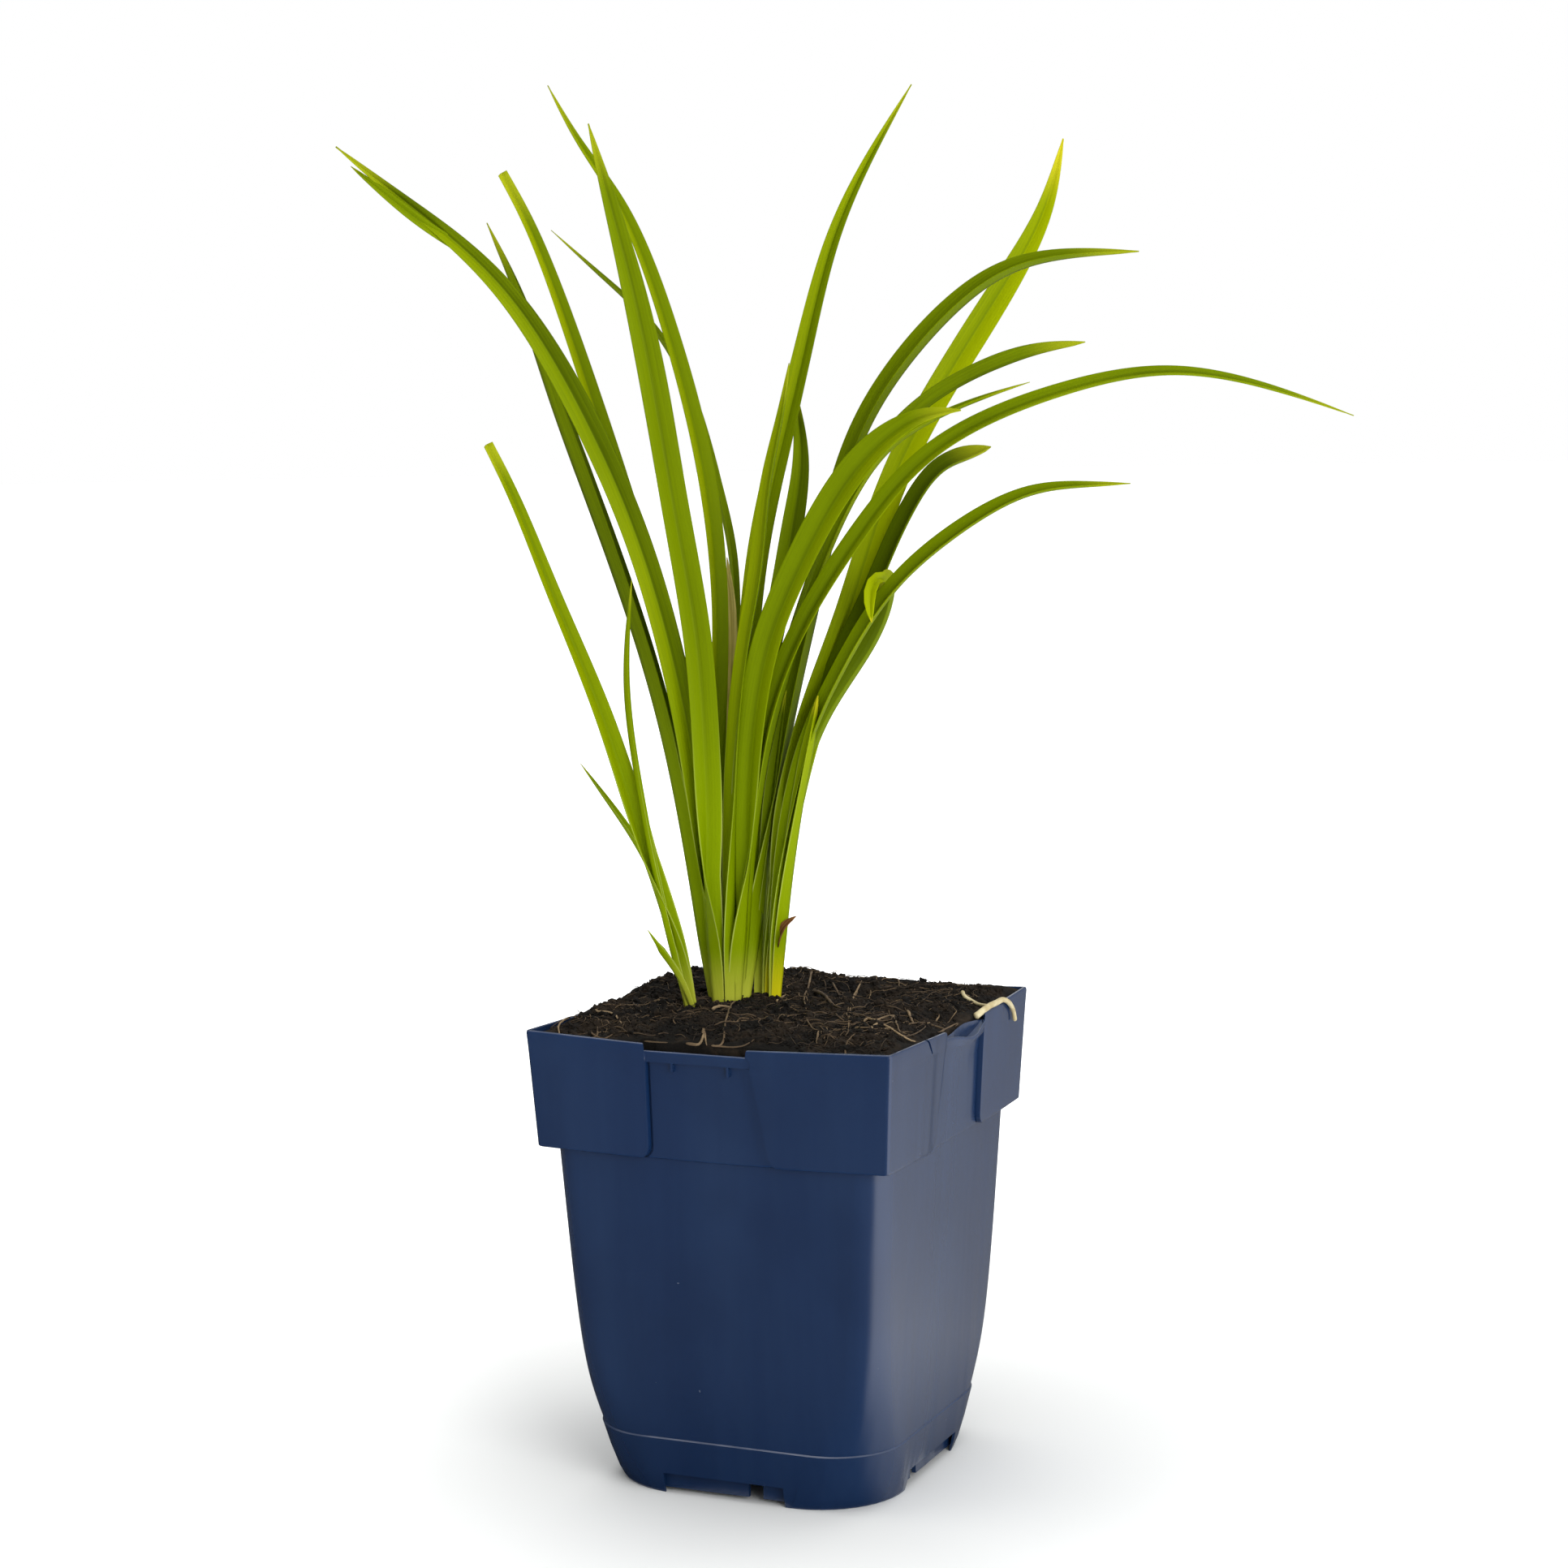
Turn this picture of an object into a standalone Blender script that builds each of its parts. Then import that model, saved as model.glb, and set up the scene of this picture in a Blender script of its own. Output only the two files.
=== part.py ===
"""Potted daylily, in leaf: a square nursery pot, soil with surface roots, and three shoots of strap leaves.

The origin is the middle of the pot's underside, on the face that it stands on. Its sides look along X and Y.
Lengths are in millimetres here and become metres where a mesh is made.
"""

import math
from typing import NamedTuple

import bmesh
import bpy
import numpy as np
from mathutils import Matrix, Vector

MM = 0.001
GAP = 0.3

POT_HEIGHT = 128.0
WALL = 1.2
COLLAR_BOTTOM = 96.0
COLLAR_TOP_HALF = 53.0
COLLAR_BOTTOM_HALF = 51.1
COLLAR_CORNER = 2.2
PANEL_TOP = 126.7
LIP_TOP = 124.7
LIP_BOTTOM = 121.9
LIP_BACK = 0.9
SHARP_EDGE = 17.5
SOFT_EDGE_TOP = 12.2
SOFT_EDGE_BOTTOM = 18.1
RECESS_DEPTH = 1.4
GROOVE_DEPTH = 2.3
GROOVE_WIDTH = 5.0
PANEL_ROUND = 3.0
# How wide a sharp bend, the lip's eased end and a panel's soft edge are.
BEND = 0.2
LIP_EASE = 0.4
SOFT_SLOPE = 3.0
# Where the collar's recesses begin over its lower edge, and where they are full.
FOOT_RISE = 0.8
COLUMN_RISE = 2.6
CORNER_STEPS = 5
CORNER_ROOM = 0.4
SMALLEST_CORNER = 0.6

# Height, half width and corner radius of the body under the collar, from the ground up.
LEDGE_TOP = 15.2
BODY_LEVELS = (
    (0.0, 41.6, 23.5),
    (3.0, 42.4, 22.5),
    (LEDGE_TOP - BEND, 44.3, 19.0),
    (LEDGE_TOP, 43.9, 18.7),
    (30.0, 45.0, 13.0),
    (50.0, 46.2, 9.5),
    (COLLAR_BOTTOM, 48.8, 8.5),
)
FLOOR_BOTTOM = 6.2
FLOOR_TOP = 7.8
NOTCH_TOP = 5.8
NOTCH_SHARP = 19.4
NOTCH_SOFT = 16.2
NOTCH_BACK = 37.0
FOOT_PAD_RADIUS = 9.0
FOOT_PAD_SIDES = 24
# The ribs under the floor: their face from the middle, their lift off the ground, and how far they sink in.
RIB_FACE = 32.0
RIB_LIFT = 0.5
RIB_THICKNESS = 1.2
SUNK = 0.5
RIB_SPANS = ((-26.0, -9.0), (-9.0, 5.0), (9.3, 26.0))

SOIL_BASE = 116.0
SOIL_EDGE = 125.4
SOIL_CROWN = 4.2
SOIL_RINGS = (0.93, 0.85, 0.74, 0.6, 0.45, 0.3, 0.15)
# Place, spread and rise of the mounds and hollows in the soil.
MOUNDS = (
    (-11.0, 38.0, 9.0, 2.6),
    (18.0, 22.0, 9.0, -3.0),
    (44.0, 4.0, 10.0, -2.6),
    (-47.0, 12.0, 13.0, 2.4),
    (-40.0, 38.0, 12.0, 1.8),
    (-46.0, -20.0, 11.0, 1.4),
    (14.0, 46.0, 13.0, 2.0),
    (38.0, 44.0, 13.0, 2.2),
    (4.0, -34.0, 14.0, 0.6),
)
SOIL_SEED = 11
SOIL_LUMPS = 60
LUMP_REACH = 48.0
LUMP_SPREAD = (3.5, 7.0)
LUMP_RISE = (-0.8, 0.9)
SURFACE_ROOTS = 11
ROOT_START = 40.0
ROOT_LIMIT = 44.0
ROOT_RADIUS = (0.5, 0.9)
ROOT_STRIDE = 3.2
ROOT_WANDER = 0.7
ROOT_POINTS = 8

# The plane in which the leaves spread: across it, away from the front corner, and up.
FAN_TURN = math.radians(23.6)
STATION_SPACING = 13.5
FEWEST_STATIONS = 8
BLADE = 0.65
NARROWEST = 2.0
FOOT_FOLD = 26.0
FOOT_LENGTH = 26.0
FOOT_SHARE = 0.7
OPENING = 70.0
# The share of its width that a pointed leaf ends in, how full its point is, and a cut leaf's taper.
POINT_END = 0.16
POINT_FULLNESS = 0.75
CUT_END = 0.42
CUT_TAPER = 130.0
# Limits that keep a narrow blade's two halves and its midrib apart, as shares of the blade and of its reach.
LEAST_FOLD = 1.5
MOST_RIB = 0.6
RISING_DIAGONALS = (True, True, False, True, True, False)
CROWN_SIDES = 16
CROWN_DEPTH = 10.0
HOLE_ABOVE = 20.0


class Shoot(NamedTuple):
    """A shoot's crown: its place in the fan plane, half length, half width, and the soil level there."""

    name: str
    across: float
    depth: float
    half_length: float
    half_width: float
    level: float


class Leaf(NamedTuple):
    """A strap leaf: its line as (across, depth, up) from foot to tip, flat width, fold, turn and point."""

    shoot: str
    name: str
    path: tuple
    width: float
    fold: float
    turn: float
    point: float


SHOOTS = (
    Shoot("main_fan", -15.6, 6.5, 7.4, 5.0, 128.9),
    Shoot("right_fan", -3.2, 9.5, 4.5, 3.9, 129.0),
    Shoot("left_shoot", -25.2, -0.5, 3.7, 3.1, 128.6),
)

LEAVES = (
    Leaf("main_fan", "long_left",
         ((-18, 6, 125), (-22, 1, 183), (-32, -8, 240), (-46, -20, 282), (-69, -36, 324),
          (-92, -50, 346), (-109, -60, 360)), 8.0, 118, 88, 110),
    Leaf("main_fan", "shaded_left",
         ((-20, 7, 125), (-25, 6, 169), (-33, 8, 214), (-47, 14, 259), (-60, 22, 295), (-71, 30, 326),
          (-80, 36, 346)), 9.2, 62, 10, 80),
    Leaf("main_fan", "cut_left",
         ((-18, 8, 125), (-22, 10, 191), (-32, 10, 236), (-44.5, 8, 280), (-55.4, 4, 316),
          (-64.7, 0, 342), (-72, -4, 357)), 8.2, 120, 60, 0),
    Leaf("main_fan", "tall_left",
         ((-17, 8, 125), (-18, 12, 186), (-16, 15, 236), (-20, 20, 276), (-29, 28, 311),
          (-42, 38, 348), (-53.5, 44, 368), (-63, 50, 385)), 7.0, 120, 50, 110),
    Leaf("main_fan", "broad_left",
         ((-18, 4, 125), (-20, -2, 199), (-22, -6, 233), (-27, -10, 267), (-32, -16, 300),
          (-38, -24, 331), (-44, -30, 355), (-47, -34, 367)), 8.8, 124, 72, 80),
    Leaf("main_fan", "thin_left",
         ((-16, 9, 125), (-13, 20, 203), (-12, 26, 249), (-16, 30, 271), (-24, 36, 299),
          (-35, 40, 318), (-49, 45, 331.8), (-63, 50, 344.5)), 5.0, 100, 20, 90),
    Leaf("main_fan", "dry_leaf",
         ((-15, 9, 125), (-14, 16, 181), (-13, 18, 226), (-13, 20, 240), (-14, 21, 252)),
         3.4, 130, 70, 25),
    Leaf("main_fan", "tall_middle",
         ((-15, 8, 125), (-11, 14, 193), (-6, 18, 249), (0.6, 20, 280), (8, 20, 309), (15.8, 16, 337),
          (25.3, 10, 358), (38, 0, 379)), 7.4, 112, 78, 130),
    Leaf("main_fan", "front_middle",
         ((-15, 4, 125), (-14, -1, 188), (-10, -6, 228), (-6, -9, 250), (-3, -13, 272), (1, -16, 290),
          (4, -20, 305)), 7.4, 108, 32, 60),
    Leaf("main_fan", "short_middle",
         ((-14, 7, 125), (-8, 8, 200), (0.4, 8, 240), (4.8, 12, 263), (7, 18, 280), (5, 26, 301)),
         7.2, 120, 88, 55),
    Leaf("main_fan", "outer_right",
         ((-12, 7, 125), (-7, 13, 158), (1, 16, 204), (9, 15, 239), (19, 8, 277.5), (31, 2, 301),
          (49, -4, 321), (68, -10, 331.5), (97, -18, 333)), 9.6, 92, 25, 85),
    Leaf("main_fan", "dark_right",
         ((-13, 8, 125), (-6, 8, 193), (6, 4, 236), (18, 0, 266), (33, -4, 288), (49, -8, 300),
          (68, -12, 307.5), (83, -15, 309.5)), 8.0, 100, -25, 60),
    Leaf("main_fan", "front_right",
         ((-14, 5, 125), (-10, -1, 188), (-4, -9, 228), (6, -18, 253), (16, -26, 271), (28, -36, 285),
          (39, -42, 291), (48, -46, 292)), 10.0, 120, 58, 70),
    Leaf("main_fan", "thin_right",
         ((-13, 6, 125), (-8, 3, 192), (4, -1, 230), (16, -6, 260), (28, -12, 280), (40, -18, 289),
          (54, -24, 295), (67, -30, 299)), 4.6, 100, 20, 60),
    Leaf("main_fan", "long_right",
         ((-14, 5, 125), (-10, 1, 174), (-5, -4, 206), (5, -9, 233), (23, -15, 260.6), (44, -20, 282),
          (74, -24, 296.4), (104, -26, 301.6), (130, -26, 297), (153, -24, 289)), 7.6, 110, 58, 150),
    Leaf("right_fan", "broad_right",
         ((-4, 10, 125), (-0.5, 10, 168), (8.8, 14, 207), (19.8, 20, 236), (32.3, 28, 271),
          (50.2, 36, 303.5), (70, 44, 334), (78.4, 48, 351), (83, 50, 368)), 9.2, 120, 88, 65),
    Leaf("right_fan", "shaded_right",
         ((-4, 10, 125), (1, 12, 172), (10.5, 14, 213), (21.8, 16, 239.2), (29.2, 18, 254.2),
          (36.4, 20, 267.6), (45.6, 22, 278.4), (60, 24, 282)), 9.4, 104, 35, 45),
    Leaf("right_fan", "kinked_right",
         ((-3, 10, 125), (1.2, 10, 170), (7.6, 8, 200), (16, 8, 216), (24.6, 9, 229), (28.7, 9, 239),
          (29, 6, 246)), 8.6, 110, -55, 12),
    Leaf("right_fan", "arched_right",
         ((-3, 8, 125), (0, 5, 171), (7, 1, 202), (16, -4, 222), (29, -10, 243), (46, -16, 259),
          (66, -20, 270), (81, -22, 272), (94, -24, 272)), 7.4, 100, 32, 80),
    Leaf("right_fan", "outer_sheath",
         ((-2.6, 8, 125), (-0.2, 5, 153), (3.6, 2, 180), (7, 0, 198), (10.6, -3, 215)), 7.0, 80, 20, 20),
    Leaf("right_fan", "dry_scale",
         ((-2, 8, 125), (0, 7.5, 138), (1.8, 7, 147), (4.6, 6, 152.5)), 4.6, 70, 20, 12),
    Leaf("left_shoot", "cut_outer",
         ((-25, 0, 125), (-29, -1, 147), (-37, -3, 175), (-47.6, -8, 211), (-59.8, -13, 244),
          (-69, -18, 269), (-76, -22, 285)), 7.6, 110, 58, 0),
    Leaf("left_shoot", "thin_upright",
         ((-25.5, -1, 125), (-33, -4, 159), (-38, -8, 189), (-41, -12, 218), (-40, -15, 238),
          (-39, -17, 248)), 3.6, 90, 10, 40),
    Leaf("left_shoot", "short_back",
         ((-26, 0, 125), (-31, 4, 151), (-37, 8, 168), (-46, 13, 182), (-56, 18, 195)), 4.2, 90, 20, 40),
    Leaf("left_shoot", "outer_spike",
         ((-24, -1, 125), (-28, -4, 137), (-32, -6, 144), (-37, -9, 152)), 3.4, 80, 20, 20),
)

# The pale root that climbs over the rim and hangs down outside, and its thinner branch, as X, Y, Z.
RIM_ROOT_PATH = ((45.6, 16.0, 125.6), (48.6, 18.6, 126.9), (51.4, 22.4, 128.1), (54.0, 27.4, 128.4),
                 (54.8, 32.6, 127.6), (54.7, 37.8, 125.6), (54.5, 41.0, 122.6), (54.3, 42.6, 120.0))
RIM_ROOT_RADIUS = 0.95
RIM_BRANCH_PATH = ((36.0, 40.0, 129.4), (41.5, 36.0, 129.8), (46.6, 31.0, 129.6), (50.6, 27.6, 129.1),
                   (53.4, 27.2, 128.5))
RIM_BRANCH_RADIUS = 0.6


def clear_scene():
    for obj in list(bpy.data.objects):
        bpy.data.objects.remove(obj)


def material(name, colour, roughness):
    """A Principled finish with this base colour and roughness."""
    made = bpy.data.materials.new(name)
    made.use_nodes = True
    shader = made.node_tree.nodes["Principled BSDF"]
    shader.inputs["Base Color"].default_value = (*colour, 1.0)
    shader.inputs["Roughness"].default_value = roughness
    shader.inputs["Metallic"].default_value = 0.0
    return made


def add_object(name, mesh, finish=None):
    obj = bpy.data.objects.new(name, mesh)
    bpy.context.scene.collection.objects.link(obj)
    if finish:
        mesh.materials.append(finish)
        mesh.set_sharp_from_angle(angle=math.radians(35))
    return obj


def finish_mesh(work, name):
    """A mesh in metres from a bmesh in millimetres."""
    bmesh.ops.recalc_face_normals(work, faces=work.faces)
    if work.calc_volume(signed=True) < 0:
        bmesh.ops.reverse_faces(work, faces=work.faces)
    work.transform(Matrix.Scale(MM, 4))
    mesh = bpy.data.meshes.new(name)
    work.to_mesh(mesh)
    work.free()
    mesh.shade_smooth()
    return mesh


def smooth_line(points, count):
    """Points along a natural cubic curve through the given ones, evenly spaced in the curve's parameter."""
    points = np.array(points, float)
    last = len(points) - 1
    chord = np.concatenate([[0.0], np.cumsum(np.linalg.norm(np.diff(points, axis=0), axis=1) ** 0.5)])
    step = np.diff(chord)
    matrix = np.eye(last + 1)
    target = np.zeros_like(points)
    for i in range(1, last):
        matrix[i, i - 1:i + 2] = step[i - 1], 2 * (step[i - 1] + step[i]), step[i]
        target[i] = 6 * ((points[i + 1] - points[i]) / step[i] - (points[i] - points[i - 1]) / step[i - 1])
    bend = np.linalg.solve(matrix, target)
    line = []
    for t in np.linspace(0.0, chord[-1], count):
        i = min(int(np.searchsorted(chord, t, side="right")) - 1, last - 1)
        a, b, h = chord[i + 1] - t, t - chord[i], step[i]
        line.append((bend[i] * a**3 + bend[i + 1] * b**3) / (6 * h)
                    + (points[i] / h - bend[i] * h / 6) * a + (points[i + 1] / h - bend[i + 1] * h / 6) * b)
    return np.array(line)


def bridge_rings(work, rings, cap_first=True, cap_last=True):
    """Closed rings of equally many points, joined one to the next."""
    made = [[work.verts.new(point) for point in ring] for ring in rings]
    for low, high in zip(made, made[1:]):
        for i in range(len(low)):
            j = (i + 1) % len(low)
            work.faces.new((low[i], low[j], high[j], high[i]))
    if cap_first:
        work.faces.new(made[0][::-1])
    if cap_last:
        work.faces.new(made[-1])
    return made


def join_by_union(name, pieces, finish, solver="EXACT"):
    """One solid from overlapping closed pieces."""
    first, rest = pieces[0], pieces[1:]
    group = bpy.data.collections.new(name + "_pieces")
    bpy.context.scene.collection.children.link(group)
    for obj in rest:
        bpy.context.scene.collection.objects.unlink(obj)
        group.objects.link(obj)
    union = first.modifiers.new("union", "BOOLEAN")
    union.operation = "UNION"
    union.operand_type = "COLLECTION"
    union.collection = group
    union.solver = solver
    bpy.context.view_layer.update()
    graph = bpy.context.evaluated_depsgraph_get()
    mesh = bpy.data.meshes.new_from_object(first.evaluated_get(graph))
    for obj in pieces:
        bpy.data.objects.remove(obj)
    bpy.data.collections.remove(group)
    mesh.name = name
    mesh.materials.clear()
    return add_object(name, mesh, finish)


def keep_outer_body(obj):
    """Fills the hollows that a union seals and drops its loose scraps: the largest connected body stays."""
    work = bmesh.new()
    work.from_mesh(obj.data)
    left = set(work.verts)
    bodies = []
    while left:
        body = {left.pop()}
        front = list(body)
        while front:
            vert = front.pop()
            near = {edge.other_vert(vert) for edge in vert.link_edges} - body
            body |= near
            front.extend(near)
        left -= body
        bodies.append(body)
    bodies.sort(key=len)
    bmesh.ops.delete(work, geom=[vert for body in bodies[:-1] for vert in body], context="VERTS")
    work.to_mesh(obj.data)
    work.free()
    return obj


def cut(target, cutters):
    """The target without the cutters, as a plain mesh."""
    for cutter in cutters:
        cutter.hide_render = True
        cutter.display_type = "WIRE"
        notch = target.modifiers.new("cut", "BOOLEAN")
        notch.operation = "DIFFERENCE"
        notch.solver = "EXACT"
        notch.object = cutter
    bpy.context.view_layer.update()
    graph = bpy.context.evaluated_depsgraph_get()
    mesh = bpy.data.meshes.new_from_object(target.evaluated_get(graph))
    for cutter in cutters:
        bpy.data.objects.remove(cutter)
    target.modifiers.clear()
    target.data = mesh
    return target


def box(name, low, high):
    work = bmesh.new()
    corners = ((low[0], low[1]), (high[0], low[1]), (high[0], high[1]), (low[0], high[1]))
    bridge_rings(work, [[(x, y, z) for x, y in corners] for z in (low[2], high[2])])
    return add_object(name, finish_mesh(work, name))


def column(name, outline, low, high):
    work = bmesh.new()
    bridge_rings(work, [[(x, y, z) for x, y in outline] for z in (low, high)])
    return add_object(name, finish_mesh(work, name))


def recess_columns(kind, height, inset):
    """Across one side from its sharp panel edge to its soft one: place from the middle, and depth."""
    rise = (height - COLLAR_BOTTOM) / (POT_HEIGHT - COLLAR_BOTTOM)
    sharp = SHARP_EDGE + inset
    soft = SOFT_EDGE_BOTTOM + (SOFT_EDGE_TOP - SOFT_EDGE_BOTTOM) * max(rise, 0.0) + inset
    if kind in ("body", "foot"):
        sharp += PANEL_ROUND
    groove, recess = {"body": (0.0, 0.0), "foot": (RECESS_DEPTH, RECESS_DEPTH),
                      "collar": (GROOVE_DEPTH, RECESS_DEPTH), "lip": (LIP_BACK, LIP_BACK)}[kind]
    slope = LIP_EASE if kind == "lip" else SOFT_SLOPE
    return [(sharp, 0.0), (sharp - BEND, groove), (sharp - GROOVE_WIDTH, recess), (slope - soft, recess),
            (-soft, 0.0)]


def wall_ring(half, radius, height, kind="body", inset=0.0, rim=None):
    """One level of the pot's wall: a square with round corners, and a recess in each side of the collar.

    Opposite corners match: the recess is sharp edged next to two of them and soft edged next to the others.
    The rim gives the heights of the corners, the panels' ends and the lip between them, where these differ.
    """
    half, radius = half - inset, max(radius - inset, SMALLEST_CORNER)
    corner_top, panel_top, lip_top = rim or (height, height, height)
    ring = []
    for side in range(4):
        sharp_first = side % 2 == 0
        columns = recess_columns(kind, height, inset)
        shrink = min(1.0, (half - radius - CORNER_ROOM) / columns[0][0])
        tops = [panel_top, lip_top, lip_top, lip_top, panel_top]
        line = [(-place * shrink, back, top) for (place, back), top in zip(columns, tops)]
        if not sharp_first:
            line = [(-x, back, top) for x, back, top in reversed(line)]
        turn = Matrix.Rotation(side * math.pi / 2, 3, "Z")
        for step in range(CORNER_STEPS):
            angle = -math.pi + step / (CORNER_STEPS - 1) * math.pi / 2
            ring.append(turn @ Vector((radius - half + radius * math.cos(angle),
                                       radius - half + radius * math.sin(angle), corner_top)))
        ring.extend(turn @ Vector((x, back - half, top)) for x, back, top in line)
    return ring


def collar_half(height):
    share = (height - COLLAR_BOTTOM) / (POT_HEIGHT - COLLAR_BOTTOM)
    return COLLAR_BOTTOM_HALF + share * (COLLAR_TOP_HALF - COLLAR_BOTTOM_HALF)


def body_at(height):
    """Half width and corner radius of the body at this height."""
    heights, halves, radii = zip(*BODY_LEVELS)
    return float(np.interp(height, heights, halves)), float(np.interp(height, heights, radii))


def outer_rings():
    """The outside of the pot, from the ground up to the collar's lip."""
    rings = [wall_ring(half, radius, height) for height, half, radius in BODY_LEVELS]
    for height, kind in ((COLLAR_BOTTOM, "foot"), (COLLAR_BOTTOM + FOOT_RISE, "foot"),
                         (COLLAR_BOTTOM + COLUMN_RISE, "collar"),
                         (LIP_BOTTOM - BEND, "collar"), (LIP_BOTTOM, "lip")):
        rings.append(wall_ring(collar_half(height), COLLAR_CORNER, height, kind))
    return rings


def inner_rings(inset, step_rise, top, floor):
    """The inside of the wall, from this height under the rim down to the floor, this far in from outside."""
    step = COLLAR_BOTTOM + step_rise
    eased = step + COLUMN_RISE - FOOT_RISE
    rings = [wall_ring(collar_half(height), COLLAR_CORNER, height, kind, inset)
             for height, kind in ((top, "collar"), (eased, "collar"), (step, "foot"))]
    levels = [level for level in BODY_LEVELS if level[0] > floor and level[0] != LEDGE_TOP]
    for height, half, radius in reversed(levels):
        rings.append(wall_ring(half, radius, step if height == COLLAR_BOTTOM else height, "body", inset))
    rings.append(wall_ring(*body_at(floor), floor, "body", inset))
    return rings


def make_pot(finish):
    work = bmesh.new()
    tops = (POT_HEIGHT, PANEL_TOP, LIP_TOP)
    rim = [wall_ring(COLLAR_TOP_HALF, COLLAR_CORNER, POT_HEIGHT, "lip", inset, tops) for inset in (0.0, WALL)]
    underside = [wall_ring(*body_at(height), height, "body", WALL) for height in (FLOOR_BOTTOM, 0.0)]
    rings = underside + outer_rings() + rim + inner_rings(WALL, WALL, LIP_BOTTOM - BEND, FLOOR_TOP)
    made = bridge_rings(work, rings, cap_first=False)
    work.faces.new(made[0])
    shell = add_object("pot_shell", finish_mesh(work, "pot_shell"))

    cutters = []
    for side in range(4):
        reach = (-NOTCH_SHARP, NOTCH_SOFT) if side % 2 == 0 else (-NOTCH_SOFT, NOTCH_SHARP)
        cutter = box("notch", (reach[0], -COLLAR_TOP_HALF, -NOTCH_TOP), (reach[1], -NOTCH_BACK, NOTCH_TOP))
        cutter.rotation_euler.z = side * math.pi / 2
        cutters.append(cutter)
    bpy.context.view_layer.update()
    cut(shell, cutters)

    circle = [(FOOT_PAD_RADIUS * math.cos(a), FOOT_PAD_RADIUS * math.sin(a))
              for a in (2 * math.pi * k / FOOT_PAD_SIDES for k in range(FOOT_PAD_SIDES))]
    pieces = [shell, column("foot_pad", circle, 0.0, FLOOR_TOP - SUNK)]
    for side in range(4):
        for start, end in RIB_SPANS:
            low, high = (start, end) if side % 2 == 0 else (-end, -start)
            rib = box("rib", (low, -RIB_FACE, RIB_LIFT), (high, RIB_THICKNESS - RIB_FACE, FLOOR_TOP - SUNK))
            rib.rotation_euler.z = side * math.pi / 2
            pieces.append(rib)
    bpy.context.view_layer.update()
    return join_by_union("pot", pieces, finish)


def soil_height(x, y, lumps):
    edge = max(abs(x), abs(y)) / COLLAR_TOP_HALF
    height = SOIL_EDGE + SOIL_CROWN * (1 - edge**7)
    for across, along, spread, rise in (*MOUNDS, *lumps):
        height += rise * math.exp(-((x - across) ** 2 + (y - along) ** 2) / spread**2)
    return height


def soil_lumps():
    random = np.random.default_rng(SOIL_SEED)
    places = random.uniform(-LUMP_REACH, LUMP_REACH, (SOIL_LUMPS, 2))
    spreads = random.uniform(*LUMP_SPREAD, SOIL_LUMPS)
    rises = random.uniform(*LUMP_RISE, SOIL_LUMPS)
    return [(x, y, spread, rise) for (x, y), spread, rise in zip(places, spreads, rises)]


def tube(name, points, radius, sides=6, tip=0.45, margin=0.0):
    """A round root along a line, thinner towards its tip, or the room for it with this margin all round."""
    line = [Vector(point) for point in points]
    line[0] += (line[0] - line[1]).normalized() * margin
    line[-1] += (line[-1] - line[-2]).normalized() * margin
    work = bmesh.new()
    rings = []
    for i, point in enumerate(line):
        along = (line[min(i + 1, len(line) - 1)] - line[max(i - 1, 0)]).normalized()
        guide = along.orthogonal() if i == 0 else across
        across = (guide - along * guide.dot(along)).normalized()
        side = along.cross(across)
        size = radius * (1 - (1 - tip) * i / (len(line) - 1)) + margin
        rings.append([point + size * (math.cos(a) * across + math.sin(a) * side)
                      for a in (2 * math.pi * k / sides for k in range(sides))])
    bridge_rings(work, rings)
    return add_object(name, finish_mesh(work, name))


def surface_root(index, lumps):
    """One root that wanders over the soil, half sunk in it."""
    random = np.random.default_rng((SOIL_SEED, index))
    place = random.uniform(-ROOT_START, ROOT_START, 2)
    heading = random.uniform(0, 2 * math.pi)
    radius = random.uniform(*ROOT_RADIUS)
    points = []
    for _ in range(ROOT_POINTS):
        if max(abs(place)) < ROOT_LIMIT:
            points.append((*place, soil_height(*place, lumps) + radius / 4))
        heading += random.uniform(-ROOT_WANDER, ROOT_WANDER)
        place = place + ROOT_STRIDE * np.array([math.cos(heading), math.sin(heading)])
    return tube("surface_root", points, radius, sides=5) if len(points) > 3 else None


def fan_to_world(point):
    across, depth, up = point
    return Vector((across * math.cos(FAN_TURN) - depth * math.sin(FAN_TURN),
                   across * math.sin(FAN_TURN) + depth * math.cos(FAN_TURN), up))


def crown_outline(shoot, margin):
    """The shoot's footprint in the soil, this much larger all round."""
    outline = []
    for k in range(CROWN_SIDES):
        angle = 2 * math.pi * k / CROWN_SIDES
        spot = fan_to_world((shoot.across + (shoot.half_length + margin) * math.cos(angle),
                             shoot.depth + (shoot.half_width + margin) * math.sin(angle), 0.0))
        outline.append((spot.x, spot.y))
    return outline


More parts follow.
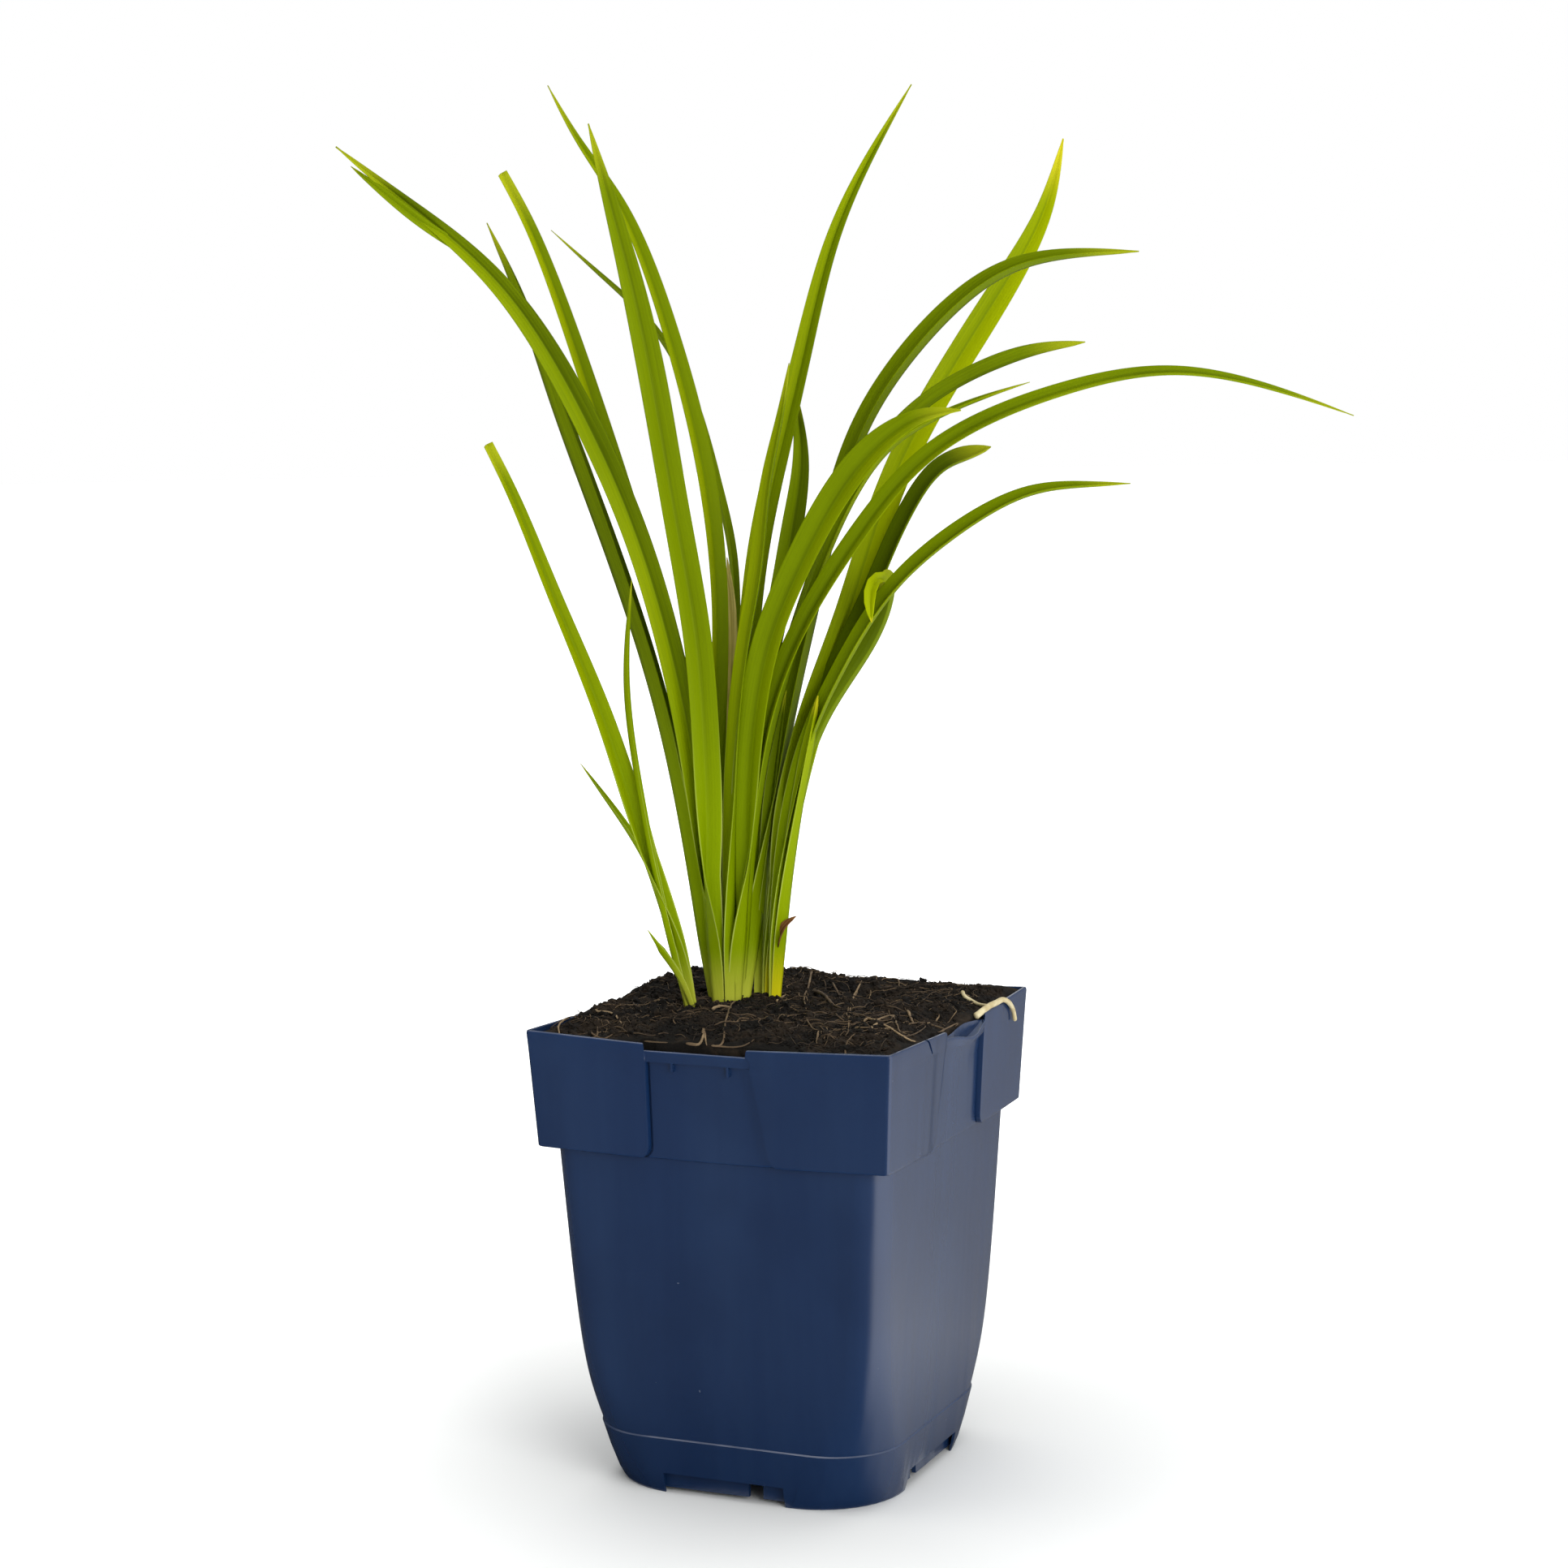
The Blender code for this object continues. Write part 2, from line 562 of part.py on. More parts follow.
def make_soil(finish):
    """The heap with its lumps and roots, from just over the pot's floor up, and holes for what stands in it."""
    lumps = soil_lumps()
    inset = WALL + 1.5 * GAP
    lower = inner_rings(inset, WALL + GAP, SOIL_BASE, FLOOR_TOP + GAP)[::-1]
    edge = wall_ring(collar_half(SOIL_EDGE), COLLAR_CORNER, SOIL_EDGE, "collar", inset)
    rings = lower + [[Vector((p.x, p.y, soil_height(p.x, p.y, lumps))) for p in edge]]
    level = wall_ring(collar_half(SOIL_EDGE), COLLAR_CORNER, 0.0, "body", inset)
    for share in SOIL_RINGS:
        rings.append([Vector((p.x * share, p.y * share, soil_height(p.x * share, p.y * share, lumps)))
                      for p in level])
    work = bmesh.new()
    made = bridge_rings(work, rings, cap_first=False, cap_last=False)
    work.faces.new(made[0])
    crest = work.verts.new((0.0, 0.0, soil_height(0.0, 0.0, lumps)))
    for i, vert in enumerate(made[-1]):
        work.faces.new((vert, made[-1][(i + 1) % len(made[-1])], crest))
    bmesh.ops.triangulate(work, faces=[face for face in work.faces if len(face.verts) == 4])
    heap = add_object("heap", finish_mesh(work, "heap"))
    roots = [root for root in (surface_root(i, lumps) for i in range(SURFACE_ROOTS)) if root]
    soil = join_by_union("soil", [heap, *roots], finish, "MANIFOLD")
    holes = []
    for shoot in SHOOTS:
        outline = crown_outline(shoot, GAP)
        holes.append(column("hole", outline, shoot.level - CROWN_DEPTH - GAP, shoot.level + HOLE_ABOVE))
    holes += rim_root_tubes(1.5 * GAP)
    return keep_outer_body(cut(soil, holes))


def blend_in(share):
    share = min(max(share, 0.0), 1.0)
    return share * share * (3 - 2 * share)


def leaf_width(leaf, distance, length):
    """The flat width at this distance from the foot: drawn in at the foot and to the point."""
    left = length - distance
    if distance < FOOT_LENGTH:
        return leaf.width * (FOOT_SHARE + (1 - FOOT_SHARE) * blend_in(distance / FOOT_LENGTH))
    if leaf.point and left < leaf.point:
        return leaf.width * max(math.sin(math.pi / 2 * left / leaf.point) ** POINT_FULLNESS, POINT_END)
    if not leaf.point:
        return leaf.width * min(1.0, CUT_END + (1 - CUT_END) * left / CUT_TAPER)
    return leaf.width


def leaf_rings(leaf):
    """A keeled blade: two halves that rise from the midrib, folded close at the foot and opening upwards.

    The line runs along the middle of what the front view shows of the blade. Each ring goes round a section:
    midrib below, one half's edge, midrib above, and the other half's edge.
    """
    span = sum(math.dist(low, high) for low, high in zip(leaf.path, leaf.path[1:]))
    stations = max(FEWEST_STATIONS, round(span / STATION_SPACING))
    line = smooth_line(leaf.path, stations)
    length = np.concatenate([[0.0], np.cumsum(np.linalg.norm(np.diff(line, axis=0), axis=1))])
    lean = 1.0 if leaf.path[-1][0] > leaf.path[0][0] else -1.0
    rings = []
    for i, point in enumerate(line):
        along = Vector(line[min(i + 1, stations - 1)] - line[max(i - 1, 0)]).normalized()
        depth = Vector((0.0, 1.0, 0.0))
        sideways = (depth - along * depth.dot(along)).normalized()
        channel = lean * along.cross(sideways)
        opened = blend_in(length[i] / OPENING)
        turn = math.radians(leaf.turn) * opened
        reach = max(leaf_width(leaf, length[i], length[-1]) / 2, NARROWEST / 2)
        fold = math.radians(FOOT_FOLD + (leaf.fold - FOOT_FOLD) * opened) / 2
        fold = max(fold, math.atan2(LEAST_FOLD * BLADE, reach))
        inward = math.cos(turn) * channel - math.sin(turn) * sideways
        spread = math.sin(turn) * channel + math.cos(turn) * sideways
        seen = (0.0, math.cos(fold - turn), math.cos(fold + turn))
        middle = Vector(point) - channel * (reach * (max(seen) + min(seen)) / 2)
        left = math.cos(fold) * inward + math.sin(fold) * spread
        right = math.cos(fold) * inward - math.sin(fold) * spread
        rib = inward * min(BLADE / math.sin(fold), MOST_RIB * reach)
        thick_left = (math.sin(fold) * inward - math.cos(fold) * spread) * BLADE
        thick_right = (math.sin(fold) * inward + math.cos(fold) * spread) * BLADE
        rings.append([fan_to_world(spot) for spot in (
            middle, middle + left * reach, middle + left * reach + thick_left, middle + rib,
            middle + right * reach + thick_right, middle + right * reach)])
    return rings


def make_leaf(leaf):
    """The closed blade, with both faces split along matching diagonals, so that a twist keeps them apart."""
    work = bmesh.new()
    rings = [[work.verts.new(point) for point in ring] for ring in leaf_rings(leaf)]
    for low, high in zip(rings, rings[1:]):
        for i, rising in enumerate(RISING_DIAGONALS):
            j = (i + 1) % len(low)
            if rising:
                work.faces.new((low[i], low[j], high[j]))
                work.faces.new((low[i], high[j], high[i]))
            else:
                work.faces.new((low[i], low[j], high[i]))
                work.faces.new((low[j], high[j], high[i]))
    for end in (rings[0], rings[-1]):
        for half in ((0, 1, 2, 3), (0, 3, 4, 5)):
            work.faces.new([end[i] for i in half])
    bmesh.ops.triangulate(work, faces=[face for face in work.faces if len(face.verts) == 4])
    return add_object(leaf.name, finish_mesh(work, leaf.name))


def make_shoot(shoot, finish):
    """The leaves of one shoot, grown together in a short crown that stands in the soil."""
    crown = column("crown", crown_outline(shoot, 0.0), shoot.level - CROWN_DEPTH, shoot.level)
    blades = [make_leaf(leaf) for leaf in LEAVES if leaf.shoot == shoot.name]
    return keep_outer_body(join_by_union(shoot.name, [crown, *blades], finish, "MANIFOLD"))


def rim_root_tubes(margin=0.0):
    return [tube("root", smooth_line(RIM_ROOT_PATH, 16), RIM_ROOT_RADIUS, tip=0.7, margin=margin),
            tube("branch", smooth_line(RIM_BRANCH_PATH, 9), RIM_BRANCH_RADIUS, tip=1.0, margin=margin)]


def make_rim_root(finish):
    return join_by_union("rim_root", rim_root_tubes(), finish)


clear_scene()
make_pot(material("pot plastic", (0.017, 0.03, 0.095), 0.42))
make_soil(material("soil", (0.03, 0.022, 0.015), 0.95))
green = material("leaf green", (0.28, 0.36, 0.02), 0.45)
for shoot_row in SHOOTS:
    make_shoot(shoot_row, green)
make_rim_root(material("pale root", (0.72, 0.62, 0.36), 0.6))
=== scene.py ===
import math

import bmesh
import bpy
import numpy as np
from mathutils import Matrix, Vector, noise


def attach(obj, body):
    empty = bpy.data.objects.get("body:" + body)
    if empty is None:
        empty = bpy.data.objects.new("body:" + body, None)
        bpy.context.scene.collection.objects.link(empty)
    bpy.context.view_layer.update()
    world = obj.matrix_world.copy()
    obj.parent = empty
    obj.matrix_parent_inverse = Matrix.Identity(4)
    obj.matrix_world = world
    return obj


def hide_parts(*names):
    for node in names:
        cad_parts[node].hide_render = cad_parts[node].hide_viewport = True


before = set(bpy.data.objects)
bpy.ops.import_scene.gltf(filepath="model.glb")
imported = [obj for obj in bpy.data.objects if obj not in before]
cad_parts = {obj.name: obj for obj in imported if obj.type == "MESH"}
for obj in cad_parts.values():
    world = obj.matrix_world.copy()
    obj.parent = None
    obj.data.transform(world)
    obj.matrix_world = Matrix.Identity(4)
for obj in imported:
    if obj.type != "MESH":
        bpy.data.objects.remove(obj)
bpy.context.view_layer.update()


# The camera stands a little over a metre from the pot, in front of its nearest corner and just above its rim.
# Its long lens and square frame are those of the photograph.
PHOTO_SIDE = 1932
FOCAL_PIXELS = 4000.0
SENSOR, CLIP_END = 36.0, 100.0
CAMERA_PLACE = Vector((0.356265, -0.812595, 0.29358))
CAMERA_YAW, CAMERA_PITCH, CAMERA_ROLL = (math.radians(angle) for angle in (23.61, 6.63, -0.86))

camera_back = Vector((math.sin(CAMERA_YAW) * math.cos(CAMERA_PITCH),
                      -math.cos(CAMERA_YAW) * math.cos(CAMERA_PITCH), math.sin(CAMERA_PITCH)))
level_right = Vector((math.cos(CAMERA_YAW), math.sin(CAMERA_YAW), 0.0))
level_up = camera_back.cross(level_right)
camera_right = math.cos(CAMERA_ROLL) * level_right + math.sin(CAMERA_ROLL) * level_up
camera_up = math.cos(CAMERA_ROLL) * level_up - math.sin(CAMERA_ROLL) * level_right


def placed(name, data):
    """An object of this camera, light or mesh, linked to the scene."""
    thing = bpy.data.objects.new(name, data)
    bpy.context.scene.collection.objects.link(thing)
    return thing


lens = bpy.data.cameras.new("camera")
lens.sensor_width = SENSOR
lens.lens = FOCAL_PIXELS / PHOTO_SIDE * SENSOR
lens.clip_end = CLIP_END
camera = placed("camera", lens)
camera.matrix_world = (Matrix.Translation(CAMERA_PLACE)
                       @ Matrix((camera_right, camera_up, camera_back)).transposed().to_4x4())
bpy.context.scene.camera = camera


# The studio is a pale floor under an even white sky, with one soft panel overhead and one in front on the
# right. A low card curves round the pot for reflections alone, dim in front and bright at the right.
BLACK, WHITE = (0.0, 0.0, 0.0, 1.0), (1.0, 1.0, 1.0, 1.0)
SKY_LIGHT, SKY_SEEN = 0.4, 1.0
FLOOR_RADIUS, FLOOR_SIDES, FLOOR_PATCHES = 14.0, 96, 3.0
FLOOR_COLOURS = (0.86, 0.87, 0.86, 1.0), (0.89, 0.9, 0.89, 1.0)
# The floor glows as white as the sky, but not round the pot, so that the shadow stays.
FLOOR_GLOW, GLOW_MIDDLE, GLOW_START, GLOW_FULL = 0.8, (0.03, 0.0, 0.0), 0.06, 0.4
LIGHT_AIM = Vector((0.0, 0.0, 0.16))
# Name, place, width, height and power of each panel.
PANELS = (
    ("overhead", Vector((0.0, 0.1, 2.2)), 2.4, 2.4, 42.0),
    ("key", Vector((1.2, -0.95, 0.6)), 0.9, 0.9, 16.0),
)
# The card's rows, from the pot's foot outwards and then up, as reach, height and share of its brightness.
# Then its brightness by heading, in degrees round from the pot's right, the brightness of a full glow, and
# its step in degrees.
CARD_ROWS = ((0.045, 0.0005, 0.12), (0.14, 0.0005, 1.0), (0.75, 0.0005, 1.0), (0.75, 0.6, 1.0))
CARD_GLOW = ((-250.0, 0.12), (-42.0, 0.12), (-30.0, 2.7), (0.0, 2.4), (30.0, 1.4), (50.0, 0.85), (62.0, 0.55),
             (75.0, 0.35), (101.0, 0.25))
CARD_FULL, CARD_STEP = 2.8, 3.0


class Value:
    """One output of a material's nodes. Sums written with it add their Math nodes."""

    def __init__(self, finish, socket):
        self.finish = finish
        self.socket = socket

    def math(self, operation, first, second):
        return self.finish.add("Math", {"operation": operation}, {0: first, 1: second})

    def __add__(self, other):
        return self.math("ADD", self, other)

    def __sub__(self, other):
        return self.math("SUBTRACT", self, other)

    def __mul__(self, other):
        return self.math("MULTIPLY", self, other)

    def __rsub__(self, other):
        return self.math("SUBTRACT", other, self)

    __radd__ = __add__
    __rmul__ = __mul__


class Finish:
    """A material: one Principled shader, its plain values, and the nodes that vary its surface."""

    def __init__(self, name, **constants):
        self.material = bpy.data.materials.new(name)
        self.material.use_nodes = True
        self.tree = self.material.node_tree
        self.shader = self.tree.nodes["Principled BSDF"]
        for socket, value in constants.items():
            self.shader.inputs[socket.replace("_", " ")].default_value = value

    def add(self, kind, settings=None, sockets=None, output=0):
        """A node of this type, with its settings made first, and values or links on its sockets."""
        node = self.tree.nodes.new("ShaderNode" + kind)
        for name, setting in (settings or {}).items():
            setattr(node, name, setting)
        for socket, value in (sockets or {}).items():
            self.put(node.inputs[socket], value)
        return Value(self, node.outputs[output])

    def put(self, socket, value):
        if isinstance(value, Value):
            self.tree.links.new(value.socket, socket)
        else:
            socket.default_value = value

    def feed(self, **sockets):
        for socket, value in sockets.items():
            self.put(self.shader.inputs[socket.replace("_", " ")], value)

    def mix(self, share, first, second):
        """The first colour where the share is 0 and the second where it is 1."""
        return self.add("Mix", {"data_type": "RGBA"}, {0: share, 6: first, 7: second}, 2)

    def ramp(self, value, low, high):
        """0 below low, 1 above high, and a smooth rise between them. It falls where low is the larger."""
        settings = {"interpolation_type": "SMOOTHSTEP"}
        return self.add("MapRange", settings, {0: value, 1: low, 2: high, 3: 0.0, 4: 1.0})

    def noise(self, scale, detail=3.0, place=None, roughness=0.5, stretch=(1.0, 1.0, 1.0)):
        """Noise over the object, drawn out along the axes whose stretch is small."""
        vector = place or self.add("TexCoord", output=3)
        if stretch != (1.0, 1.0, 1.0):
            vector = self.add("Mapping", None, {0: vector, 3: stretch})
        return self.add("TexNoise", None, {"Vector": vector, "Scale": scale, "Detail": detail,
                                           "Roughness": roughness})

    def attribute(self, name):
        return self.add("Attribute", {"attribute_name": name}, output=2)

    def bump(self, height, strength, distance):
        relief = self.add("Bump", None, {"Height": height, "Strength": strength, "Distance": distance})
        self.feed(Normal=relief)


def studio_light(name, place, width, height, power):
    light = bpy.data.lights.new(name, "AREA")
    light.shape = "RECTANGLE"
    light.size, light.size_y = width, height
    light.energy = power
    lamp = placed(name, light)
    lamp.location = place
    lamp.rotation_euler = (place - LIGHT_AIM).to_track_quat("Z", "Y").to_euler()
    lamp.visible_camera = False


def mark(mesh, name, numbers):
    """A number on each point of a mesh, for its finish or for the strewing to read."""
    values = np.asarray(numbers, np.float32).ravel()
    mesh.attributes.new(name, "FLOAT", "POINT").data.foreach_set("value", values)


for panel in PANELS:
    studio_light(*panel)
sky = bpy.data.worlds.new("sky")
sky.use_nodes = True
bpy.context.scene.world = sky
sky_nodes = sky.node_tree.nodes
lit, seen = sky_nodes["Background"], sky_nodes.new("ShaderNodeBackground")
lit.inputs["Color"].default_value = seen.inputs["Color"].default_value = WHITE
lit.inputs["Strength"].default_value, seen.inputs["Strength"].default_value = SKY_LIGHT, SKY_SEEN
rays, either = sky_nodes.new("ShaderNodeLightPath"), sky_nodes.new("ShaderNodeMixShader")
looked_at = sky_nodes.new("ShaderNodeMath")
looked_at.operation = "MAXIMUM"
sky.node_tree.links.new(rays.outputs["Is Camera Ray"], looked_at.inputs[0])
sky.node_tree.links.new(rays.outputs["Is Glossy Ray"], looked_at.inputs[1])
sky.node_tree.links.new(looked_at.outputs[0], either.inputs[0])
sky.node_tree.links.new(lit.outputs[0], either.inputs[1])
sky.node_tree.links.new(seen.outputs[0], either.inputs[2])
sky.node_tree.links.new(either.outputs[0], sky_nodes["World Output"].inputs["Surface"])
bpy.context.scene.view_settings.view_transform = "Standard"

floor_mesh = bpy.data.meshes.new("floor")
disc = bmesh.new()
bmesh.ops.create_circle(disc, cap_ends=True, segments=FLOOR_SIDES, radius=FLOOR_RADIUS)
disc.to_mesh(floor_mesh)
disc.free()
floor = placed("floor", floor_mesh)
pale = Finish("pale_floor", Roughness=0.9, Specular_IOR_Level=0.2, Emission_Strength=FLOOR_GLOW)
from_pot = pale.add("VectorMath", {"operation": "DISTANCE"},
                    {0: pale.add("TexCoord", output=3), 1: GLOW_MIDDLE}, 1)
pale.feed(Emission_Color=pale.mix(pale.ramp(from_pot, GLOW_START, GLOW_FULL), BLACK, WHITE))
pale.feed(Base_Color=pale.mix(pale.noise(FLOOR_PATCHES), *FLOOR_COLOURS))
floor_mesh.materials.append(pale.material)

headings = np.arange(CARD_GLOW[0][0], CARD_GLOW[-1][0] + CARD_STEP / 2, CARD_STEP)
card_mesh = bpy.data.meshes.new("card")
card_mesh.from_pydata([(reach * math.cos(math.radians(turn)), reach * math.sin(math.radians(turn)), height)
                       for reach, height, _ in CARD_ROWS for turn in headings], [],
                      [(row + k, row + k + 1, row + len(headings) + k + 1, row + len(headings) + k)
                       for row in range(0, len(headings) * (len(CARD_ROWS) - 1), len(headings))
                       for k in range(len(headings) - 1)])
glow = np.outer([share for _, _, share in CARD_ROWS], np.interp(headings, *np.array(CARD_GLOW).T) / CARD_FULL)
mark(card_mesh, "glow", glow)
card = placed("card", card_mesh)
shining = Finish("card", Base_Color=BLACK, Roughness=1.0, Specular_IOR_Level=0.0, Emission_Strength=CARD_FULL)
shining.feed(Emission_Color=shining.mix(shining.attribute("glow"), BLACK, WHITE))
card_mesh.materials.append(shining.material)
for rays_seen in ("camera", "diffuse", "transmission", "volume_scatter", "shadow"):
    setattr(card, "visible_" + rays_seen, False)


# The pot is one thin moulding of navy plastic: a tapered square body on a rounder foot with open notches, and
# a wide collar. Each side of the collar is set back between a sharp-edged and a soft-edged panel, under a
# small lip.
MM = 0.001
POT_HEIGHT, WALL = 128.0, 1.2
COLLAR_BOTTOM, COLLAR_TOP_HALF, COLLAR_BOTTOM_HALF, COLLAR_CORNER = 96.0, 53.0, 51.1, 1.3
PANEL_TOP, LIP_TOP, LIP_BOTTOM = 126.7, 124.7, 121.9
# The sharp and the soft panel edge, from the middle of a side. Then the width of the soft edge's slope, on the
# collar's face and on its lip.
SHARP_EDGE, SOFT_EDGE_TOP, SOFT_EDGE_BOTTOM, SOFT_SLOPE, LIP_SLOPE = 17.5, 12.2, 18.1, 3.0, 0.6
# How far back the recess, the groove along its sharp edge and the lip lie, and how wide the groove and its
# two slopes are. A panel's lower corners are rounded, and its edges are eased.
RECESS_DEPTH, GROOVE_DEPTH, LIP_BACK, GROOVE_WIDTH, GROOVE_SLOPE, GROOVE_END = 1.4, 2.1, 0.4, 0.45, 0.15, 0.4
PANEL_ROUND, EASE = 3.0, 0.35
# At each kind of level: the depth of the groove and of the recess, and the width of the soft slope.
RECESSES = {"body": (0.0, 0.0, 0.0), "collar": (GROOVE_DEPTH, RECESS_DEPTH, SOFT_SLOPE),
            "lip": (LIP_BACK, LIP_BACK, LIP_SLOPE)}
FLOOR_BOTTOM, FLOOR_TOP, LEDGE_TOP = 6.2, 7.8, 16.3
# Height, half width and corner radius of the body: the hollow under the floor, the foot, the wall from the
# ledge up, and the inside from the collar down.
HOLLOW_LEVELS = ((FLOOR_BOTTOM, 42.9, 21.5), (0.0, 41.6, 23.5))
FOOT_LEVELS = ((0.0, 40.9, 23.5), (3.0, 41.8, 22.5), (9.0, 43.0, 21.0), (15.7, 44.1, 19.6),
               (15.95, 44.15, 19.5))
WALL_LEVELS = ((LEDGE_TOP, 43.8, 19.2), (30.0, 45.0, 13.0), (50.0, 46.2, 9.5), (72.0, 47.5, 8.9),
               (COLLAR_BOTTOM, 48.8, 8.5))
INSIDE_LEVELS = ((COLLAR_BOTTOM + WALL, 48.8, 8.5), (50.0, 46.2, 9.5), (30.0, 45.0, 13.0), (15.0, 44.1, 18.8),
                 (FLOOR_TOP, 43.1, 21.1))
# The collar's levels: rises over its lower edge, heights of its face and of its lip, and the rim's rounding
# as distances in and down. Inside, the collar's face ends in a step to the body's wall.
EDGE_RISES = (0.1, EASE, 0.8, 1.3, 1.9, 2.5, PANEL_ROUND)
COLLAR_HEIGHTS = (COLLAR_BOTTOM + 3.6, 104.0, 110.0, 116.0, LIP_BOTTOM - 0.35)
LIP_HEIGHTS = (LIP_BOTTOM - 0.25, LIP_BOTTOM + 0.1, LIP_BOTTOM + 1.2)
COLLAR_INSIDE = (LIP_BOTTOM - 0.2, COLLAR_BOTTOM + WALL + 2.0, COLLAR_BOTTOM + WALL)
RIM_ROUNDING = ((0.0, 0.85), (0.07, 0.4), (0.2, 0.12), (0.38, 0.0), (0.5, 0.0), (0.7, 0.0),
                (WALL - 0.32, 0.0), (WALL - 0.1, 0.08), (WALL, 0.4))
# Levels up the wall, points round a corner and along a recess, a corner's least radius and its distance from
# the recess, and the angle in degrees from which an edge looks sharp.
WALL_STEPS, CORNER_STEPS, RECESS_STEPS, LEAST_CORNER, CORNER_ROOM, SHARP_ANGLE = 30, 13, 12, 0.8, 0.4, 40
NOTCH_TOP, NOTCH_SHARP, NOTCH_SOFT, NOTCH_BACK = 5.8, 19.4, 16.2, 37.0
FOOT_PAD_RADIUS, FOOT_PAD_SIDES, RIB_FACE, RIB_LIFT, RIB_THICKNESS, SUNK = 9.0, 48, 39.8, 1.2, 1.2, 0.5
RIB_SPANS = ((-26.0, -9.0), (-9.0, 5.0), (9.3, 26.0))
# Small ribs under the front lip: their place, and how far down they reach. Then their half width, how far
# they stand out, and how far they are sunk into the wall and into the lip.
LIP_RIBS = ((-9.8, 119.3), (6.4, 119.0))
LIP_RIB_HALF, LIP_RIB_OUT, LIP_RIB_IN, LIP_RIB_UP = 0.35, 1.0, 0.4, 0.3
# The right-hand side's lip has been torn from its wall: where, how far it spreads, and how far out and down
# it lies. The wall behind it stands a little back and up, with a trough between the two.
BENT_LIP, BENT_SPREAD, BENT_OUT, BENT_DOWN = Vector((52.4, 6.0, 124.7)), (9.5, 4.2), 1.8, 2.2
TROUGH_DEPTH, TROUGH_IN, WALL_BACK, WALL_UP = 1.1, 0.2, 0.8, 0.9
# Measured in from that place: where the lip ends, the trough's middle and end, and all that moves. Then how
# far down the rim's rounding reaches.
LIP_END, TROUGH_MIDDLE, TROUGH_END, BENT_END, RIM_REACH = 0.4, 0.6, 0.8, 1.8, 0.6
# How far the collar's lower edge hangs down along the middle of each side, and the height where that begins.
HANG, HANG_TOP = 1.1, 104.0
NAVY, NAVY_LIGHT = (0.0052, 0.02, 0.067, 1.0), (0.0085, 0.027, 0.08, 1.0)
NAVY_DEEP, DUST = (0.0042, 0.0168, 0.057, 1.0), (0.16, 0.19, 0.26, 1.0)
# A slanting nick in the right-hand rim, as depths and heights of its corners.
NICK = ((-27.2, 127.3), (-26.0, 127.3), (-22.3, 122.9), (-22.8, 122.7))


def smooth_line(points, count):
    """Points along a natural cubic curve through the given ones, evenly spaced in the curve's parameter."""
    points = np.array(points, float)
    last = len(points) - 1
    chord = np.concatenate([[0.0], np.cumsum(np.linalg.norm(np.diff(points, axis=0), axis=1) ** 0.5)])
    step = np.diff(chord)
    matrix = np.eye(last + 1)
    target = np.zeros_like(points)
    for i in range(1, last):
        matrix[i, i - 1:i + 2] = step[i - 1], 2 * (step[i - 1] + step[i]), step[i]
        target[i] = 6 * ((points[i + 1] - points[i]) / step[i] - (points[i] - points[i - 1]) / step[i - 1])
    bend = np.linalg.solve(matrix, target)
    line = []
    for t in np.linspace(0.0, chord[-1], count):
        i = min(int(np.searchsorted(chord, t, side="right")) - 1, last - 1)
        a, b, h = chord[i + 1] - t, t - chord[i], step[i]
        line.append((bend[i] * a**3 + bend[i + 1] * b**3) / (6 * h)
                    + (points[i] / h - bend[i] * h / 6) * a + (points[i + 1] / h - bend[i + 1] * h / 6) * b)
    return np.array(line)


def skin(rings):
    """Vertices and faces of closed rings of equally many points, joined in a row and capped at both ends."""
    count, faces = len(rings[0]), []
    for row in range(len(rings) - 1):
        for i in range(count):
            j = (i + 1) % count
            faces.append((row * count + i, row * count + j, (row + 1) * count + j, (row + 1) * count + i))
    faces.append(tuple(range(count))[::-1])
    faces.append(tuple(range((len(rings) - 1) * count, len(rings) * count)))
    return np.concatenate([np.array(ring, float) for ring in rings]), faces


def solid(name, parts, finish=None, sharp=None):
    """An object from closed bodies in millimetres, its faces outwards and smooth up to the sharp angle."""
    vertices = np.concatenate([points for points, _ in parts]) * MM
    start, faces = 0, []
    for points, loops in parts:
        faces.extend(tuple(start + i for i in loop) for loop in loops)
        start += len(points)
    mesh = bpy.data.meshes.new(name)
    mesh.from_pydata(vertices.tolist(), [], faces)
    work = bmesh.new()
    work.from_mesh(mesh)
    bmesh.ops.recalc_face_normals(work, faces=work.faces)
    work.to_mesh(mesh)
    work.free()
    mesh.shade_smooth()
    if sharp:
        mesh.set_sharp_from_angle(angle=math.radians(sharp))
    if finish:
        mesh.materials.append(finish.material)
    return placed(name, mesh)


def block(low, high):
    outline = [(low[0], low[1]), (high[0], low[1]), (high[0], high[1]), (low[0], high[1])]
    return skin([[(x, y, z) for x, y in outline] for z in (low[2], high[2])])


def turned(part, quarter):
    points, faces = part
    turn = np.array(Matrix.Rotation(quarter * math.pi / 2, 3, "Z"))
    return points @ turn.T, faces


